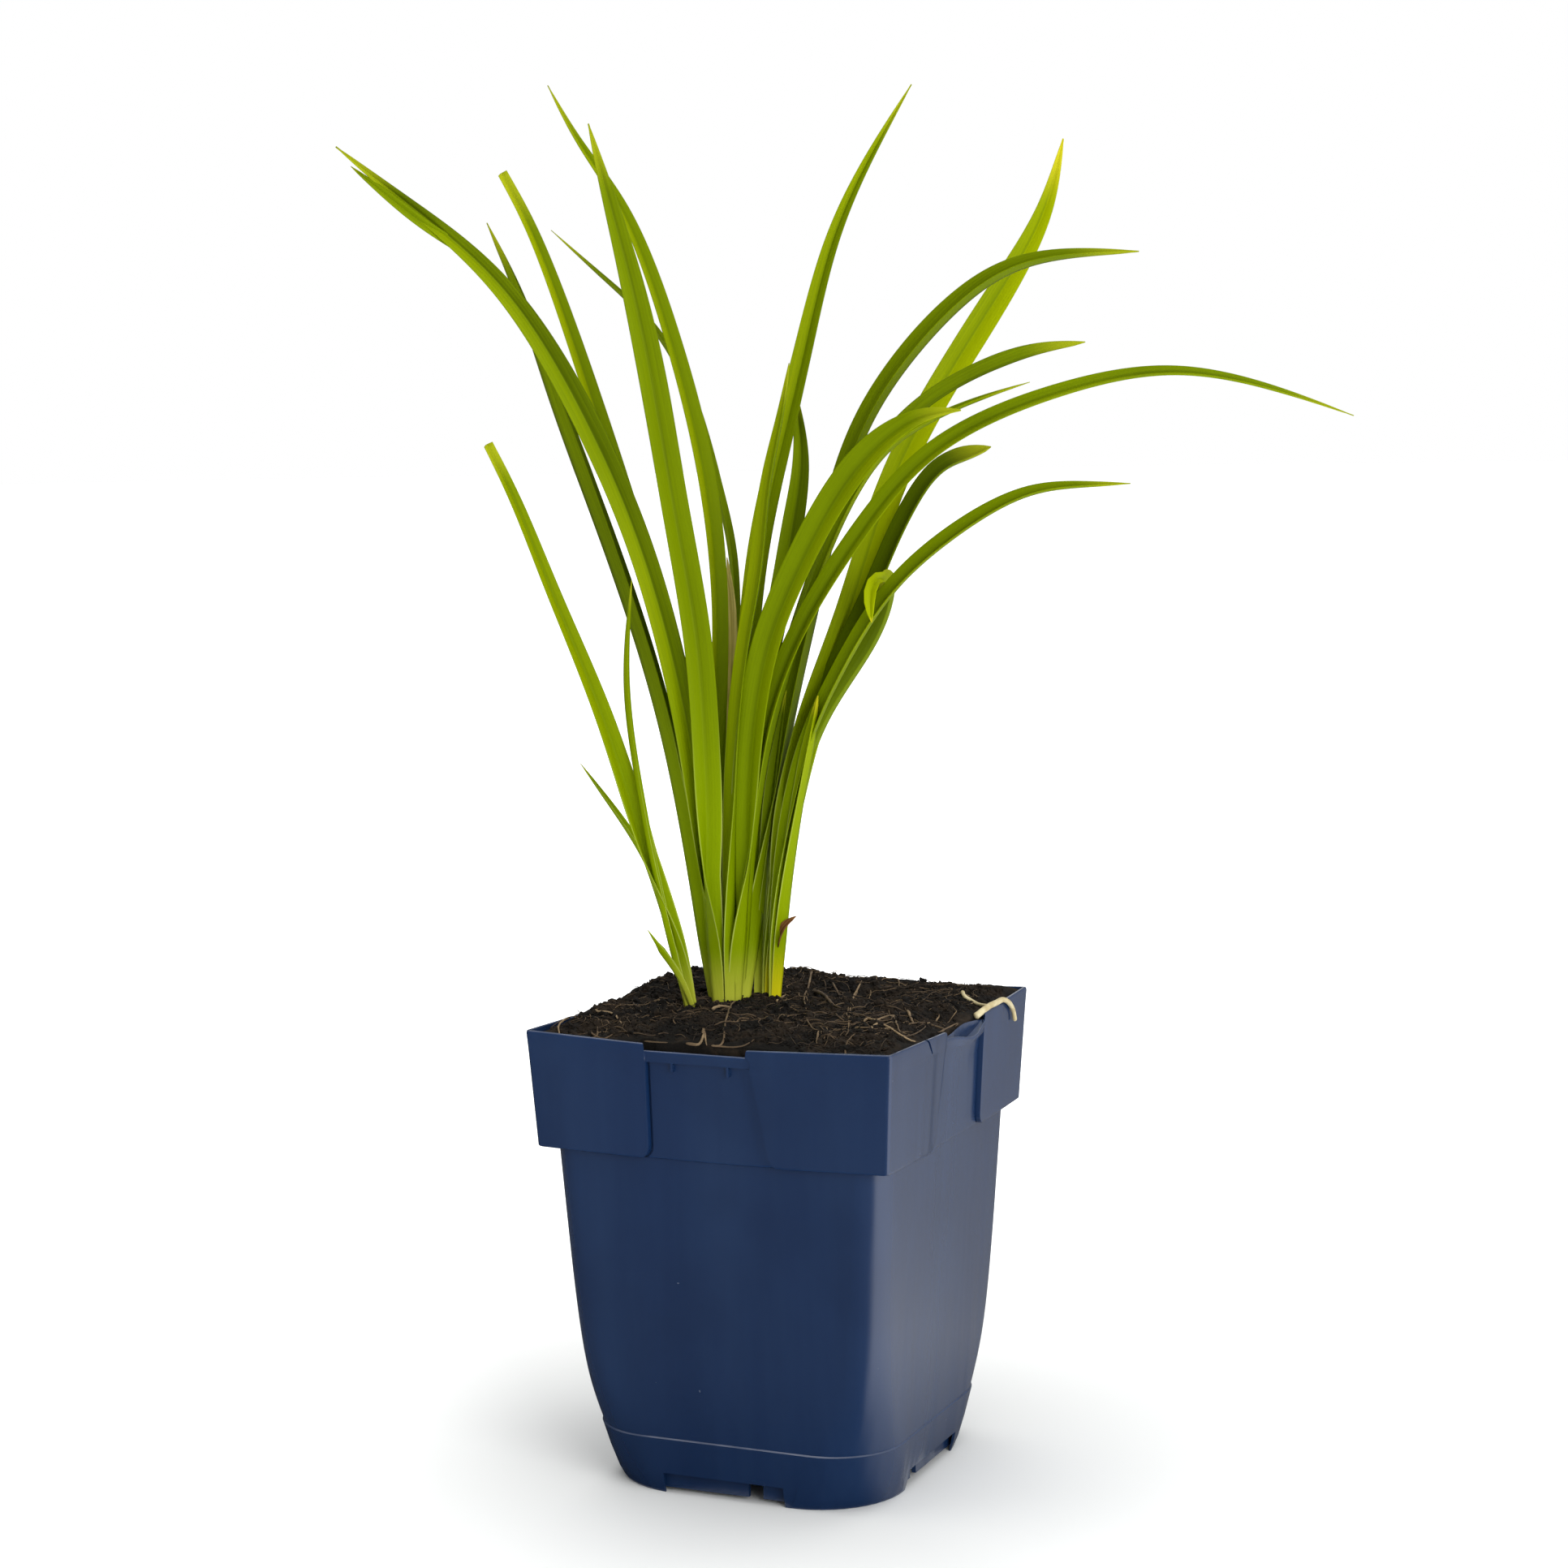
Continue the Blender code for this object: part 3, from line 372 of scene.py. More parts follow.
def collar_columns(kind, height, inset):
    """Across one side, from its sharp panel edge to its soft one: place from the middle, and depth."""
    rise = (height - COLLAR_BOTTOM) / (POT_HEIGHT - COLLAR_BOTTOM)
    sharp = SHARP_EDGE + inset
    soft = SOFT_EDGE_BOTTOM + (SOFT_EDGE_TOP - SOFT_EDGE_BOTTOM) * max(rise, 0.0) + inset
    low = height - COLLAR_BOTTOM
    if low < PANEL_ROUND:
        corner = PANEL_ROUND - math.sqrt(PANEL_ROUND**2 - (PANEL_ROUND - max(low, 0.0)) ** 2)
        sharp += corner
        soft += corner
    groove, recess, slope = RECESSES[kind]
    ease = EASE if kind != "body" else 0.0
    places = np.linspace(sharp - GROOVE_WIDTH - GROOVE_END, slope - soft, RECESS_STEPS)
    flat = [(place, recess) for place in places]
    return [(sharp + ease, 0.0), (sharp + ease / 4, ease / 5), (sharp, min(ease, groove)),
            (sharp - GROOVE_SLOPE, groove), (sharp - GROOVE_WIDTH, groove), *flat,
            (slope / 3 - soft, recess / 5), (-soft, 0.0)]


def wall_ring(half, radius, height, kind="body", inset=0.0, rim=None, drop=0.0):
    """One level of the wall: a square with round corners, and a recess in each side of the collar."""
    half, radius = half - inset, max(radius - inset, LEAST_CORNER)
    corner_top, panel_top, lip_top = (top - drop for top in rim or (height, height, height))
    ring = []
    for side in range(4):
        columns = collar_columns(kind, height, inset)
        shrink = min(1.0, (half - radius - CORNER_ROOM) / columns[0][0])
        tops = [panel_top] * 2 + [lip_top] * (3 + RECESS_STEPS) + [panel_top] * 2
        line = [(-place * shrink, back, top) for (place, back), top in zip(columns, tops)]
        if side % 2:
            line = [(-x, back, top) for x, back, top in reversed(line)]
        turn = Matrix.Rotation(side * math.pi / 2, 3, "Z")
        for step in range(CORNER_STEPS):
            angle = -math.pi + step / (CORNER_STEPS - 1) * math.pi / 2
            ring.append(turn @ Vector((radius - half + radius * math.cos(angle),
                                       radius - half + radius * math.sin(angle), corner_top)))
        ring.extend(turn @ Vector((x, back - half, top)) for x, back, top in line)
    return ring


def collar_half(height):
    return COLLAR_BOTTOM_HALF + (height - COLLAR_BOTTOM) / (POT_HEIGHT - COLLAR_BOTTOM) * (
        COLLAR_TOP_HALF - COLLAR_BOTTOM_HALF)


def pot_shell():
    """The whole moulding's skin: under the foot, up outside, over the rim and down inside to the floor."""
    rings = [wall_ring(half, radius, height, inset=WALL) for height, half, radius in HOLLOW_LEVELS]
    for height, half, radius in (*FOOT_LEVELS, *smooth_line(WALL_LEVELS, WALL_STEPS)):
        rings.append(wall_ring(half, radius, height))
    rings.append(wall_ring(collar_half(COLLAR_BOTTOM) - EASE, COLLAR_CORNER, COLLAR_BOTTOM, "collar"))
    for rise in EDGE_RISES:
        height, eased_by = COLLAR_BOTTOM + rise, EASE * (1 - min(rise / EASE, 1.0)) ** 2
        rings.append(wall_ring(collar_half(height) - eased_by, COLLAR_CORNER, height, "collar"))
    for height in COLLAR_HEIGHTS:
        rings.append(wall_ring(collar_half(height), COLLAR_CORNER, height, "collar"))
    for height in LIP_HEIGHTS:
        rings.append(wall_ring(collar_half(height), COLLAR_CORNER, height, "lip"))
    rim = (POT_HEIGHT, PANEL_TOP, LIP_TOP)
    for inset, drop in RIM_ROUNDING:
        rings.append(wall_ring(COLLAR_TOP_HALF, COLLAR_CORNER, POT_HEIGHT, "lip", inset, rim, drop))
    for height in COLLAR_INSIDE:
        rings.append(wall_ring(collar_half(height), COLLAR_CORNER, height, "collar", WALL))
    for height, half, radius in INSIDE_LEVELS:
        rings.append(wall_ring(half, radius, height, "body", WALL))
    return skin(rings)


def bend_collar(points):
    """The collar with its hanging lower edge, and its pulled-out lip on the right-hand side."""
    for point in points:
        if COLLAR_BOTTOM - 0.1 < point[2] < HANG_TOP:
            share = min(abs(point[0]), abs(point[1])) / COLLAR_TOP_HALF
            point[2] -= HANG * (1 - share**2) * (HANG_TOP - point[2]) / (HANG_TOP - COLLAR_BOTTOM)
        away = ((point[1] - BENT_LIP.y) / BENT_SPREAD[0]) ** 2
        away += ((point[2] - BENT_LIP.z) / BENT_SPREAD[1]) ** 2
        pull = math.exp(-away) if abs(point[1]) < SHARP_EDGE - 0.1 and point[2] > HANG_TOP + 1 else 0.0
        from_face = BENT_LIP.x - point[0] if point[2] > BENT_LIP.z - RIM_REACH else 0.0
        if point[0] < BENT_LIP.x - BENT_END:
            continue
        if from_face < LIP_END:
            point[0] += BENT_OUT * pull
            point[2] -= BENT_DOWN * pull
        elif from_face < TROUGH_END:
            point[0] += (BENT_OUT - TROUGH_IN if from_face < TROUGH_MIDDLE else -WALL_BACK) * pull
            point[2] -= (BENT_DOWN + TROUGH_DEPTH) * pull
        else:
            point[0] -= WALL_BACK * pull
            point[2] += WALL_UP * pull
    return points


# The plastic has faint upright streaks and cloudy patches, a film of dust on its level faces, and a few
# specks and scratches. Shallow waves from the moulding run down its walls.
navy = Finish("navy_plastic", Specular_IOR_Level=0.5)
streaks = navy.noise(34.0, 4.0, roughness=0.6, stretch=(1.0, 1.0, 0.07))
clouds = navy.noise(22.0, 3.0)
grain = navy.noise(1500.0, 2.0)
speck = navy.ramp(navy.noise(520.0, 0.0), 0.9, 0.92)
scratch = navy.ramp(navy.noise(95.0, 1.0, roughness=0.3, stretch=(1.0, 1.0, 0.25)), 0.78, 0.8)
facing_up = navy.add("SeparateXYZ", None, {0: navy.add("NewGeometry", output=1)}, 2)
colour = navy.mix(navy.ramp(streaks, 0.3, 0.75), NAVY, NAVY_LIGHT)
colour = navy.mix(navy.ramp(clouds, 0.62, 0.3) * 0.6, colour, NAVY_DEEP)
colour = navy.mix(navy.ramp(facing_up, 0.5, 1.0) * navy.ramp(clouds, 0.35, 0.6) * 0.35, colour, DUST)
colour = navy.mix(speck * 0.25 + scratch * 0.12, colour, DUST)
navy.feed(Base_Color=colour, Roughness=0.22 + streaks * 0.08 + speck * 0.2)
waves = navy.noise(55.0, 1.0, stretch=(1.0, 1.0, 0.08))
waves += navy.noise(130.0, 1.0, stretch=(1.0, 1.0, 0.07)) * 0.3
navy.bump(grain * 0.002 + navy.noise(160.0, 3.0) * 0.006 + waves, 0.8, 0.002)

shell_points, shell_faces = pot_shell()
shell = solid("pot_moulding", [(bend_collar(shell_points), shell_faces)], navy, SHARP_ANGLE)
cuts = [skin([[(x, y, z) for y, z in NICK] for x in (COLLAR_TOP_HALF - 1.0, COLLAR_TOP_HALF + 2.0)])]
for quarter in range(4):
    low, high = (-NOTCH_SHARP, NOTCH_SOFT) if quarter % 2 == 0 else (-NOTCH_SOFT, NOTCH_SHARP)
    cut = block((low, -COLLAR_TOP_HALF, -NOTCH_TOP), (high, -NOTCH_BACK, NOTCH_TOP))
    cuts.append(turned(cut, quarter))
cutters = []
for cut in cuts:
    cutter = solid("notch", [cut])
    notch = shell.modifiers.new("notch", "BOOLEAN")
    notch.operation, notch.solver, notch.object = "DIFFERENCE", "EXACT", cutter
    cutters.append(cutter)
bpy.context.view_layer.update()
notched = bpy.data.meshes.new_from_object(shell.evaluated_get(bpy.context.evaluated_depsgraph_get()))
shell.modifiers.clear()
for cutter in cutters:
    bpy.data.objects.remove(cutter)

fittings = []
pad = [(FOOT_PAD_RADIUS * math.cos(a), FOOT_PAD_RADIUS * math.sin(a))
       for a in np.linspace(0, 2 * math.pi, FOOT_PAD_SIDES + 1)[:-1]]
fittings.append(skin([[(x, y, z) for x, y in pad] for z in (0.0, FLOOR_TOP - SUNK)]))
for quarter in range(4):
    for start, end in RIB_SPANS:
        low, high = (start, end) if quarter % 2 == 0 else (-end, -start)
        rib = block((low, -RIB_FACE, RIB_LIFT), (high, RIB_THICKNESS - RIB_FACE, FLOOR_TOP - SUNK))
        fittings.append(turned(rib, quarter))
for place, bottom in LIP_RIBS:
    face = collar_half(LIP_BOTTOM) - RECESS_DEPTH
    fittings.append(block((place - LIP_RIB_HALF, -face - LIP_RIB_OUT, bottom),
                          (place + LIP_RIB_HALF, -face + LIP_RIB_IN, LIP_BOTTOM + LIP_RIB_UP)))
ribs = solid("ribs", fittings, navy, SHARP_ANGLE)
joined = bmesh.new()
joined.from_mesh(notched)
joined.from_mesh(ribs.data)
pot_mesh = bpy.data.meshes.new("pot_moulding")
joined.to_mesh(pot_mesh)
joined.free()
bpy.data.objects.remove(ribs)
shell.data = pot_mesh
pot_mesh.materials.append(navy.material)
pot_mesh.set_sharp_from_angle(angle=math.radians(SHARP_ANGLE))
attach(shell, "root")
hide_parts("pot")


# The soil is a dark peaty mix, heaped a little over the rim and sunk in places, with a rough crumbly top. It
# fills the pot, and the shoots and the pale root stand in it.
SOIL_BASE, SOIL_EDGE, SOIL_CROWN, SOIL_HALF = 117.0, 125.4, 4.2, 51.6
# The bed's steps each way, and the power of its fall towards the wall.
SOIL_STEPS, EDGE_POWER = 190, 7
# How far past its soft and sharp edges a recess in the wall draws the soil in, and the power that keeps it
# there.
SOFT_PAST, SHARP_PAST, PULL_POWER = 2, 1, 14
# The roughness fades towards the walls, over a longer way at the back, to this share of it.
WALL_FADE, BACK_FADE, ROUGH_LEFT = 6.0, 16.0, 0.15
# Crumbs lie up to this share of the way to the walls, and to the back one, each with the length of its fade.
CRUMB_REACH, CRUMB_FADE, CRUMB_BACK, CRUMB_BACK_FADE = 0.965, 0.06, 0.86, 0.1
# Mounds and hollows as in the photograph: X, Y, spread and height. Small random ones lie between them.
MOUNDS = (
    (-11.0, 38.0, 9.0, 2.6), (18.0, 22.0, 9.0, -3.0), (44.0, 4.0, 10.0, -2.6), (-47.0, 12.0, 13.0, 2.4),
    (-40.0, 38.0, 12.0, 1.8), (-46.0, -20.0, 11.0, 1.4), (14.0, 46.0, 13.0, 1.0), (38.0, 44.0, 13.0, 0.8),
    (4.0, -34.0, 14.0, 0.6), (50.0, 50.0, 7.0, 0.8))
SOIL_SEED, SOIL_LUMPS, LUMP_REACH, LUMP_SPREAD, LUMP_RISE = 11, 60, 48.0, (3.5, 7.0), (-0.8, 0.9)
# Size in millimetres and height of each layer of roughness.
ROUGHNESS_LAYERS = ((7.0, 0.9), (2.8, 0.75), (1.1, 0.45))
PEAT, PEAT_BROWN = (0.004, 0.0032, 0.0024, 1.0), (0.019, 0.013, 0.008, 1.0)
PEAT_GREY = (0.017, 0.0155, 0.013, 1.0)

random = np.random.default_rng(SOIL_SEED)
lump_places = random.uniform(-LUMP_REACH, LUMP_REACH, (SOIL_LUMPS, 2))
lump_spreads = random.uniform(*LUMP_SPREAD, SOIL_LUMPS)
lump_rises = random.uniform(*LUMP_RISE, SOIL_LUMPS)
heaps = np.array([*MOUNDS, *np.column_stack([lump_places, lump_spreads, lump_rises])])


def soil_height(x, y):
    """The soil's level, in millimetres, without its roughness."""
    edge = max(abs(x), abs(y)) / COLLAR_TOP_HALF
    away = (x - heaps[:, 0]) ** 2 + (y - heaps[:, 1]) ** 2
    heaped = float(np.sum(heaps[:, 3] * np.exp(-away / heaps[:, 2] ** 2)))
    return SOIL_EDGE + SOIL_CROWN * (1 - edge**EDGE_POWER) + heaped


def rough_height(x, y):
    """The soil's level with its crumbs and pits, which fade out at the wall."""
    wall = min(1.0, (SOIL_HALF - max(abs(x), abs(y))) / WALL_FADE) * min(1.0, (SOIL_HALF - y) / BACK_FADE)
    height = soil_height(x, y)
    for size, rise in ROUGHNESS_LAYERS:
        crumbs = noise.fractal(Vector((x, y, 3.0 * size)) / size, 1.0, 2.0, 2)
        height += (ROUGH_LEFT + (1 - ROUGH_LEFT) * wall) * rise * crumbs
    return height


def soil_place(across, along):
    """From -1..1 both ways to X and Y, pulled in where the wall's recesses are."""
    place = []
    for mine, other, turn in ((across, along, 1), (along, across, -1)):
        spot = -other * SOIL_HALF * turn * math.copysign(1.0, mine)
        pull = 0.0
        if -SOFT_EDGE_BOTTOM - SOFT_PAST < spot < SHARP_EDGE + WALL + SHARP_PAST:
            pull = GROOVE_DEPTH if spot > SHARP_EDGE - GROOVE_WIDTH - SOFT_PAST else RECESS_DEPTH
        place.append(mine * SOIL_HALF - math.copysign(abs(mine) ** PULL_POWER, mine) * pull)
    return place


grid = np.linspace(-1, 1, SOIL_STEPS)
spots = [soil_place(across, along) for along in grid for across in grid]
top = [(x, y, rough_height(x, y)) for x, y in spots]
count = SOIL_STEPS
faces = [(r * count + c, r * count + c + 1, (r + 1) * count + c + 1, (r + 1) * count + c)
         for r in range(count - 1) for c in range(count - 1)]
border = [*range(count), *(r * count + count - 1 for r in range(1, count)),
          *((count - 1) * count + c for c in range(count - 2, -1, -1)),
          *(r * count for r in range(count - 2, 0, -1))]
start = len(top)
top += [(top[i][0], top[i][1], SOIL_BASE) for i in border]
for k in range(len(border)):
    after = (k + 1) % len(border)
    faces.append((border[k], start + k, start + after, border[after]))
faces.append(tuple(range(start, start + len(border))))

peat = Finish("peat", Roughness=0.95, Specular_IOR_Level=0.15)
brown = peat.ramp(peat.noise(85.0, 5.0, roughness=0.65), 0.46, 0.62)
grey = peat.ramp(peat.noise(210.0, 3.0, roughness=0.7), 0.56, 0.76)
peat.feed(Base_Color=peat.mix(grey * 0.55, peat.mix(brown, PEAT, PEAT_BROWN), PEAT_GREY))
peat.bump(peat.noise(900.0, 5.0, roughness=0.75), 0.8, 0.0005)
soil = solid("soil_bed", [(np.array(top), faces)], peat)
outwards = np.abs(np.array([(a, b) for b in grid for a in grid])).max(1)
crumbed = np.clip((CRUMB_REACH - outwards) / CRUMB_FADE, 0.0, 1.0)
crumbed *= np.clip((CRUMB_BACK - np.repeat(grid, SOIL_STEPS)) / CRUMB_BACK_FADE, 0.0, 1.0)
mark(soil.data, "inside", np.concatenate([crumbed, np.zeros(len(border))]))
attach(soil, "root")
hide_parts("soil")


# Loose crumbs and chopped fibre lie all over the soil: fine grains, larger clods, and short brown bits of
# peat. Each kind is a few shapes, strewn over the soil's top at random turns and sizes.

# For each kind: how many lie on a square metre, the least and the most that its shapes are scaled by, their
# tilt in radians, how far they are lifted as a share of their scale, and the seed.
GRAINS = {"Density": 800000.0, "Least": 0.00022, "Most": 0.00058, "Tilt": 3.0, "Lift": 0.1, "Seed": 3}
CLODS = {"Density": 60000.0, "Least": 0.0005, "Most": 0.0014, "Tilt": 3.0, "Lift": 0.0, "Seed": 5}
FIBRES = {"Density": 60000.0, "Least": 0.4, "Most": 1.2, "Tilt": 0.35, "Lift": 0.0003, "Seed": 8}
GRAIN_SHAPES, CLOD_SHAPES, FIBRE_SHAPES, GRAIN_FLAT, CLOD_FLAT = 4, 5, 6, 0.8, 0.75
# How far a crumb's surface goes in and out, how closely, and how far apart two crumbs lie in the noise.
LUMPY, LUMPS_CLOSE, LUMPS_APART = 0.55, 1.4, 7.3
# Crumbs lie on faces whose normal points up at least this much, and are turned round by up to a full turn.
LEAST_UP, FULL_TURN = 0.15, 6.283
FIBRE_LENGTH, FIBRE_RADIUS, FIBRE_BEND, FIBRE_ARCH, FIBRE_RINGS = 4.0, 0.11, 0.5, 0.45, 6
FIBRE_CORNERS = (0.0, 2.1, 4.2)
TAN, BARK = (0.06, 0.04, 0.022, 1.0), (0.017, 0.012, 0.008, 1.0)


def crumb_shape(name, fineness, seed, flat):
    """A rough lump one unit across."""
    work = bmesh.new()
    bmesh.ops.create_icosphere(work, subdivisions=fineness, radius=1.0)
    for vert in work.verts:
        vert.co *= 1.0 + LUMPY * noise.noise(vert.co * LUMPS_CLOSE + Vector((seed * LUMPS_APART, 0.0, 0.0)))
        vert.co.z *= flat
    mesh = bpy.data.meshes.new(name)
    work.to_mesh(mesh)
    work.free()
    return bpy.data.objects.new(name, mesh)


def fibre_shape(name, seed):
    """A short bent fibre with three sides."""
    draw = np.random.default_rng(seed)
    knees = [(FIBRE_LENGTH * (k / 3 - 0.5), draw.uniform(-FIBRE_BEND, FIBRE_BEND),
              draw.uniform(0.0, FIBRE_ARCH)) for k in range(4)]
    rings = [[(p[0], p[1] + FIBRE_RADIUS * math.cos(a), p[2] + FIBRE_RADIUS * math.sin(a))
              for a in FIBRE_CORNERS] for p in smooth_line(knees, FIBRE_RINGS)]
    piece = solid(name, [skin(rings)])
    bpy.context.scene.collection.objects.unlink(piece)
    return piece


def strewing_tree():
    """Geometry nodes that strew a collection's shapes over the upward faces of a surface."""
    tree = bpy.data.node_groups.new("strew", "GeometryNodeTree")
    kinds = {"Surface": "Geometry", "Shapes": "Collection", "Density": "Float", "Least": "Float",
             "Most": "Float", "Tilt": "Float", "Lift": "Float", "Seed": "Int", "Finish": "Material"}
    sockets = {}
    for name, kind in kinds.items():
        socket = tree.interface.new_socket(name, in_out="INPUT", socket_type="NodeSocket" + kind)
        sockets[name] = socket.identifier
    tree.interface.new_socket("Crumbs", in_out="OUTPUT", socket_type="NodeSocketGeometry")

    def node(kind, settings=None, links=None):
        made = tree.nodes.new(kind)
        for name, setting in (settings or {}).items():
            setattr(made, name, setting)
        for socket, value in (links or {}).items():
            if isinstance(value, bpy.types.NodeSocket):
                tree.links.new(value, made.inputs[socket])
            else:
                made.inputs[socket].default_value = value
        return made

    given = node("NodeGroupInput").outputs
    facing = node("ShaderNodeSeparateXYZ", None, {0: node("GeometryNodeInputNormal").outputs[0]}).outputs["Z"]
    upward = node("FunctionNodeCompare", {"operation": "GREATER_THAN"}, {0: facing, 1: LEAST_UP}).outputs[0]
    inside = node("GeometryNodeInputNamedAttribute", {"data_type": "FLOAT"}, {"Name": "inside"}).outputs[0]
    thinned = node("ShaderNodeMath", {"operation": "MULTIPLY"}, {0: given["Density"], 1: inside}).outputs[0]
    scatter = node("GeometryNodeDistributePointsOnFaces", {"distribute_method": "RANDOM"},
                   {"Mesh": given["Surface"], "Selection": upward, "Density": thinned, "Seed": given["Seed"]})
    shapes = node("GeometryNodeCollectionInfo", None,
                  {"Collection": given["Shapes"], "Separate Children": True, "Reset Children": True})
    size = node("FunctionNodeRandomValue", {"data_type": "FLOAT"},
                {2: given["Least"], 3: given["Most"], "Seed": given["Seed"]}).outputs[1]
    tilt_back = node("ShaderNodeMath", {"operation": "MULTIPLY"}, {0: given["Tilt"], 1: -1.0}).outputs[0]
    least = node("ShaderNodeCombineXYZ", None, {0: tilt_back, 1: tilt_back, 2: 0.0}).outputs[0]
    most = node("ShaderNodeCombineXYZ", None, {0: given["Tilt"], 1: given["Tilt"], 2: FULL_TURN}).outputs[0]
    turn = node("FunctionNodeRandomValue", {"data_type": "FLOAT_VECTOR"}, {0: least, 1: most}).outputs[0]
    lift = node("ShaderNodeMath", {"operation": "MULTIPLY"}, {0: size, 1: given["Lift"]}).outputs[0]
    offset = node("ShaderNodeCombineXYZ", None, {2: lift}).outputs[0]
    lifted = node("GeometryNodeSetPosition", None, {"Geometry": scatter.outputs[0], "Offset": offset})
    strewn = node("GeometryNodeInstanceOnPoints", None,
                  {"Points": lifted.outputs[0], "Instance": shapes.outputs[0], "Pick Instance": True,
                   "Rotation": turn, "Scale": size})
    real = node("GeometryNodeRealizeInstances", None, {0: strewn.outputs[0]})
    finished = node("GeometryNodeSetMaterial", None,
                    {"Geometry": real.outputs[0], "Material": given["Finish"]})
    node("NodeGroupOutput", None, {0: finished.outputs[0]})
    return tree, sockets


strew, strew_sockets = strewing_tree()


def strewn_piece(name, shapes, values, finish):
    """A plain mesh of the shapes strewn over the soil bed."""
    heap = bpy.data.collections.new(name + "_shapes")
    for shape in shapes:
        heap.objects.link(shape)
    bed = placed(name, soil.data.copy())
    modifier = bed.modifiers.new("strew", "NODES")
    modifier.node_group = strew
    for key, value in {**values, "Shapes": heap, "Finish": finish.material}.items():
        modifier[strew_sockets[key]] = value
    bpy.context.view_layer.update()
    mesh = bpy.data.meshes.new_from_object(bed.evaluated_get(bpy.context.evaluated_depsgraph_get()))
    mesh.name = name
    bed.modifiers.clear()
    bed.data = mesh
    mesh.materials.clear()
    mesh.materials.append(finish.material)
    for shape in shapes:
        bpy.data.objects.remove(shape)
    bpy.data.collections.remove(heap)
    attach(bed, "root")
    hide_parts("soil")


crumbly = Finish("crumbs", Roughness=0.95, Specular_IOR_Level=0.15)
patches = crumbly.noise(85.0, 5.0, roughness=0.65) * 0.75 + crumbly.noise(650.0, 1.0) * 0.25
warm = crumbly.ramp(patches, 0.44, 0.6)
cool = crumbly.ramp(crumbly.noise(330.0, 1.0), 0.6, 0.72)
crumbly.feed(Base_Color=crumbly.mix(cool * 0.6, crumbly.mix(warm, PEAT, PEAT_BROWN), PEAT_GREY))
crumbly.bump(crumbly.noise(2600.0, 2.0), 0.5, 0.0003)
fibrous = Finish("peat_fibre", Roughness=0.9, Specular_IOR_Level=0.2)
fibrous.feed(Base_Color=fibrous.mix(fibrous.ramp(fibrous.noise(160.0, 1.0), 0.4, 0.68), BARK, TAN))
grains = [crumb_shape(f"grain_{k}", 1, k, GRAIN_FLAT) for k in range(GRAIN_SHAPES)]
strewn_piece("soil_grains", grains, GRAINS, crumbly)
clods = [crumb_shape(f"clod_{k}", 2, 20 + k, CLOD_FLAT) for k in range(CLOD_SHAPES)]
strewn_piece("soil_clods", clods, CLODS, crumbly)
fibres = [fibre_shape(f"fibre_{k}", 40 + k) for k in range(FIBRE_SHAPES)]
strewn_piece("soil_fibres", fibres, FIBRES, fibrous)


# Thin roots of the daylily lie bare on the soil, forked and bent, pale where they are young and brown where
# dry. The ones that the photograph shows follow it, and others like them lie on the far side and between
# them. Each route is a line of pixels, a radius in millimetres and how pale the root is.
SEEN_ROOTS = (
    (((687, 1252), (688, 1264), (687, 1276)), 0.32, 0.75),
    (((726, 1238), (738, 1246), (750, 1249), (766, 1258)), 0.38, 0.8),
    (((719, 1277), (730, 1268), (736, 1262)), 0.30, 0.5),
    (((728, 1272), (742, 1266), (757, 1266)), 0.29, 0.45),
    (((878, 1243), (888, 1239), (902, 1241)), 0.45, 0.85),
    (((840, 1288), (852, 1283), (862, 1275), (867, 1267), (870, 1276)), 0.38, 0.6),
    (((871, 1291), (876, 1283), (884, 1277), (893, 1262), (905, 1240), (911, 1234)), 0.29, 0.5),
    (((876, 1286), (894, 1279), (915, 1277), (941, 1275)), 0.24, 0.35),
    (((985, 1197), (992, 1203), (1000, 1204), (996, 1216), (991, 1226), (993, 1240)), 0.36, 0.55),
    (((1012, 1199), (1006, 1203), (1000, 1205)), 0.32, 0.5),
    (((1002, 1221), (1015, 1230), (1026, 1238), (1036, 1243)), 0.52, 0.3),
    (((1060, 1212), (1052, 1226), (1048, 1243), (1045, 1263)), 0.30, 0.7),
    (((1062, 1214), (1050, 1224), (1036, 1236), (1028, 1240)), 0.27, 0.45),
    (((1026, 1216), (1034, 1225)), 0.32, 0.4),
    (((966, 1238), (980, 1243), (994, 1256), (1008, 1270), (1024, 1271), (1042, 1271)), 0.27, 0.45),
    (((1008, 1271), (1006, 1279)), 0.30, 0.6),
    (((957, 1234), (962, 1229), (968, 1227)), 0.38, 0.8),
    (((1098, 1202), (1106, 1210), (1108, 1219)), 0.26, 0.5),
    (((1120, 1204), (1126, 1212), (1126, 1222)), 0.22, 0.4),
    (((1064, 1259), (1070, 1256), (1079, 1257), (1090, 1253), (1103, 1249)), 0.39, 0.75),
    (((1074, 1266), (1084, 1261), (1096, 1266), (1107, 1274), (1120, 1279), (1136, 1284)), 0.35, 0.85),
    (((1118, 1248), (1122, 1254), (1125, 1262)), 0.41, 0.7),
    (((1100, 1250), (1104, 1262), (1109, 1273)), 0.27, 0.6),
    (((1143, 1259), (1151, 1246), (1159, 1236)), 0.32, 0.65),
    (((1164, 1208), (1169, 1217), (1174, 1223)), 0.29, 0.5),
    (((1120, 1262), (1138, 1260), (1152, 1262), (1163, 1268), (1175, 1273)), 0.26, 0.4),
    (((1049, 1249), (1062, 1252), (1076, 1256)), 0.22, 0.3),
    (((1055, 1300), (1040, 1292), (1044, 1280), (1054, 1274)), 0.30, 0.4),
    (((1176, 1272), (1180, 1258), (1177, 1252)), 0.22, 0.45),
    (((792, 1272), (806, 1280), (822, 1283)), 0.22, 0.35),
)
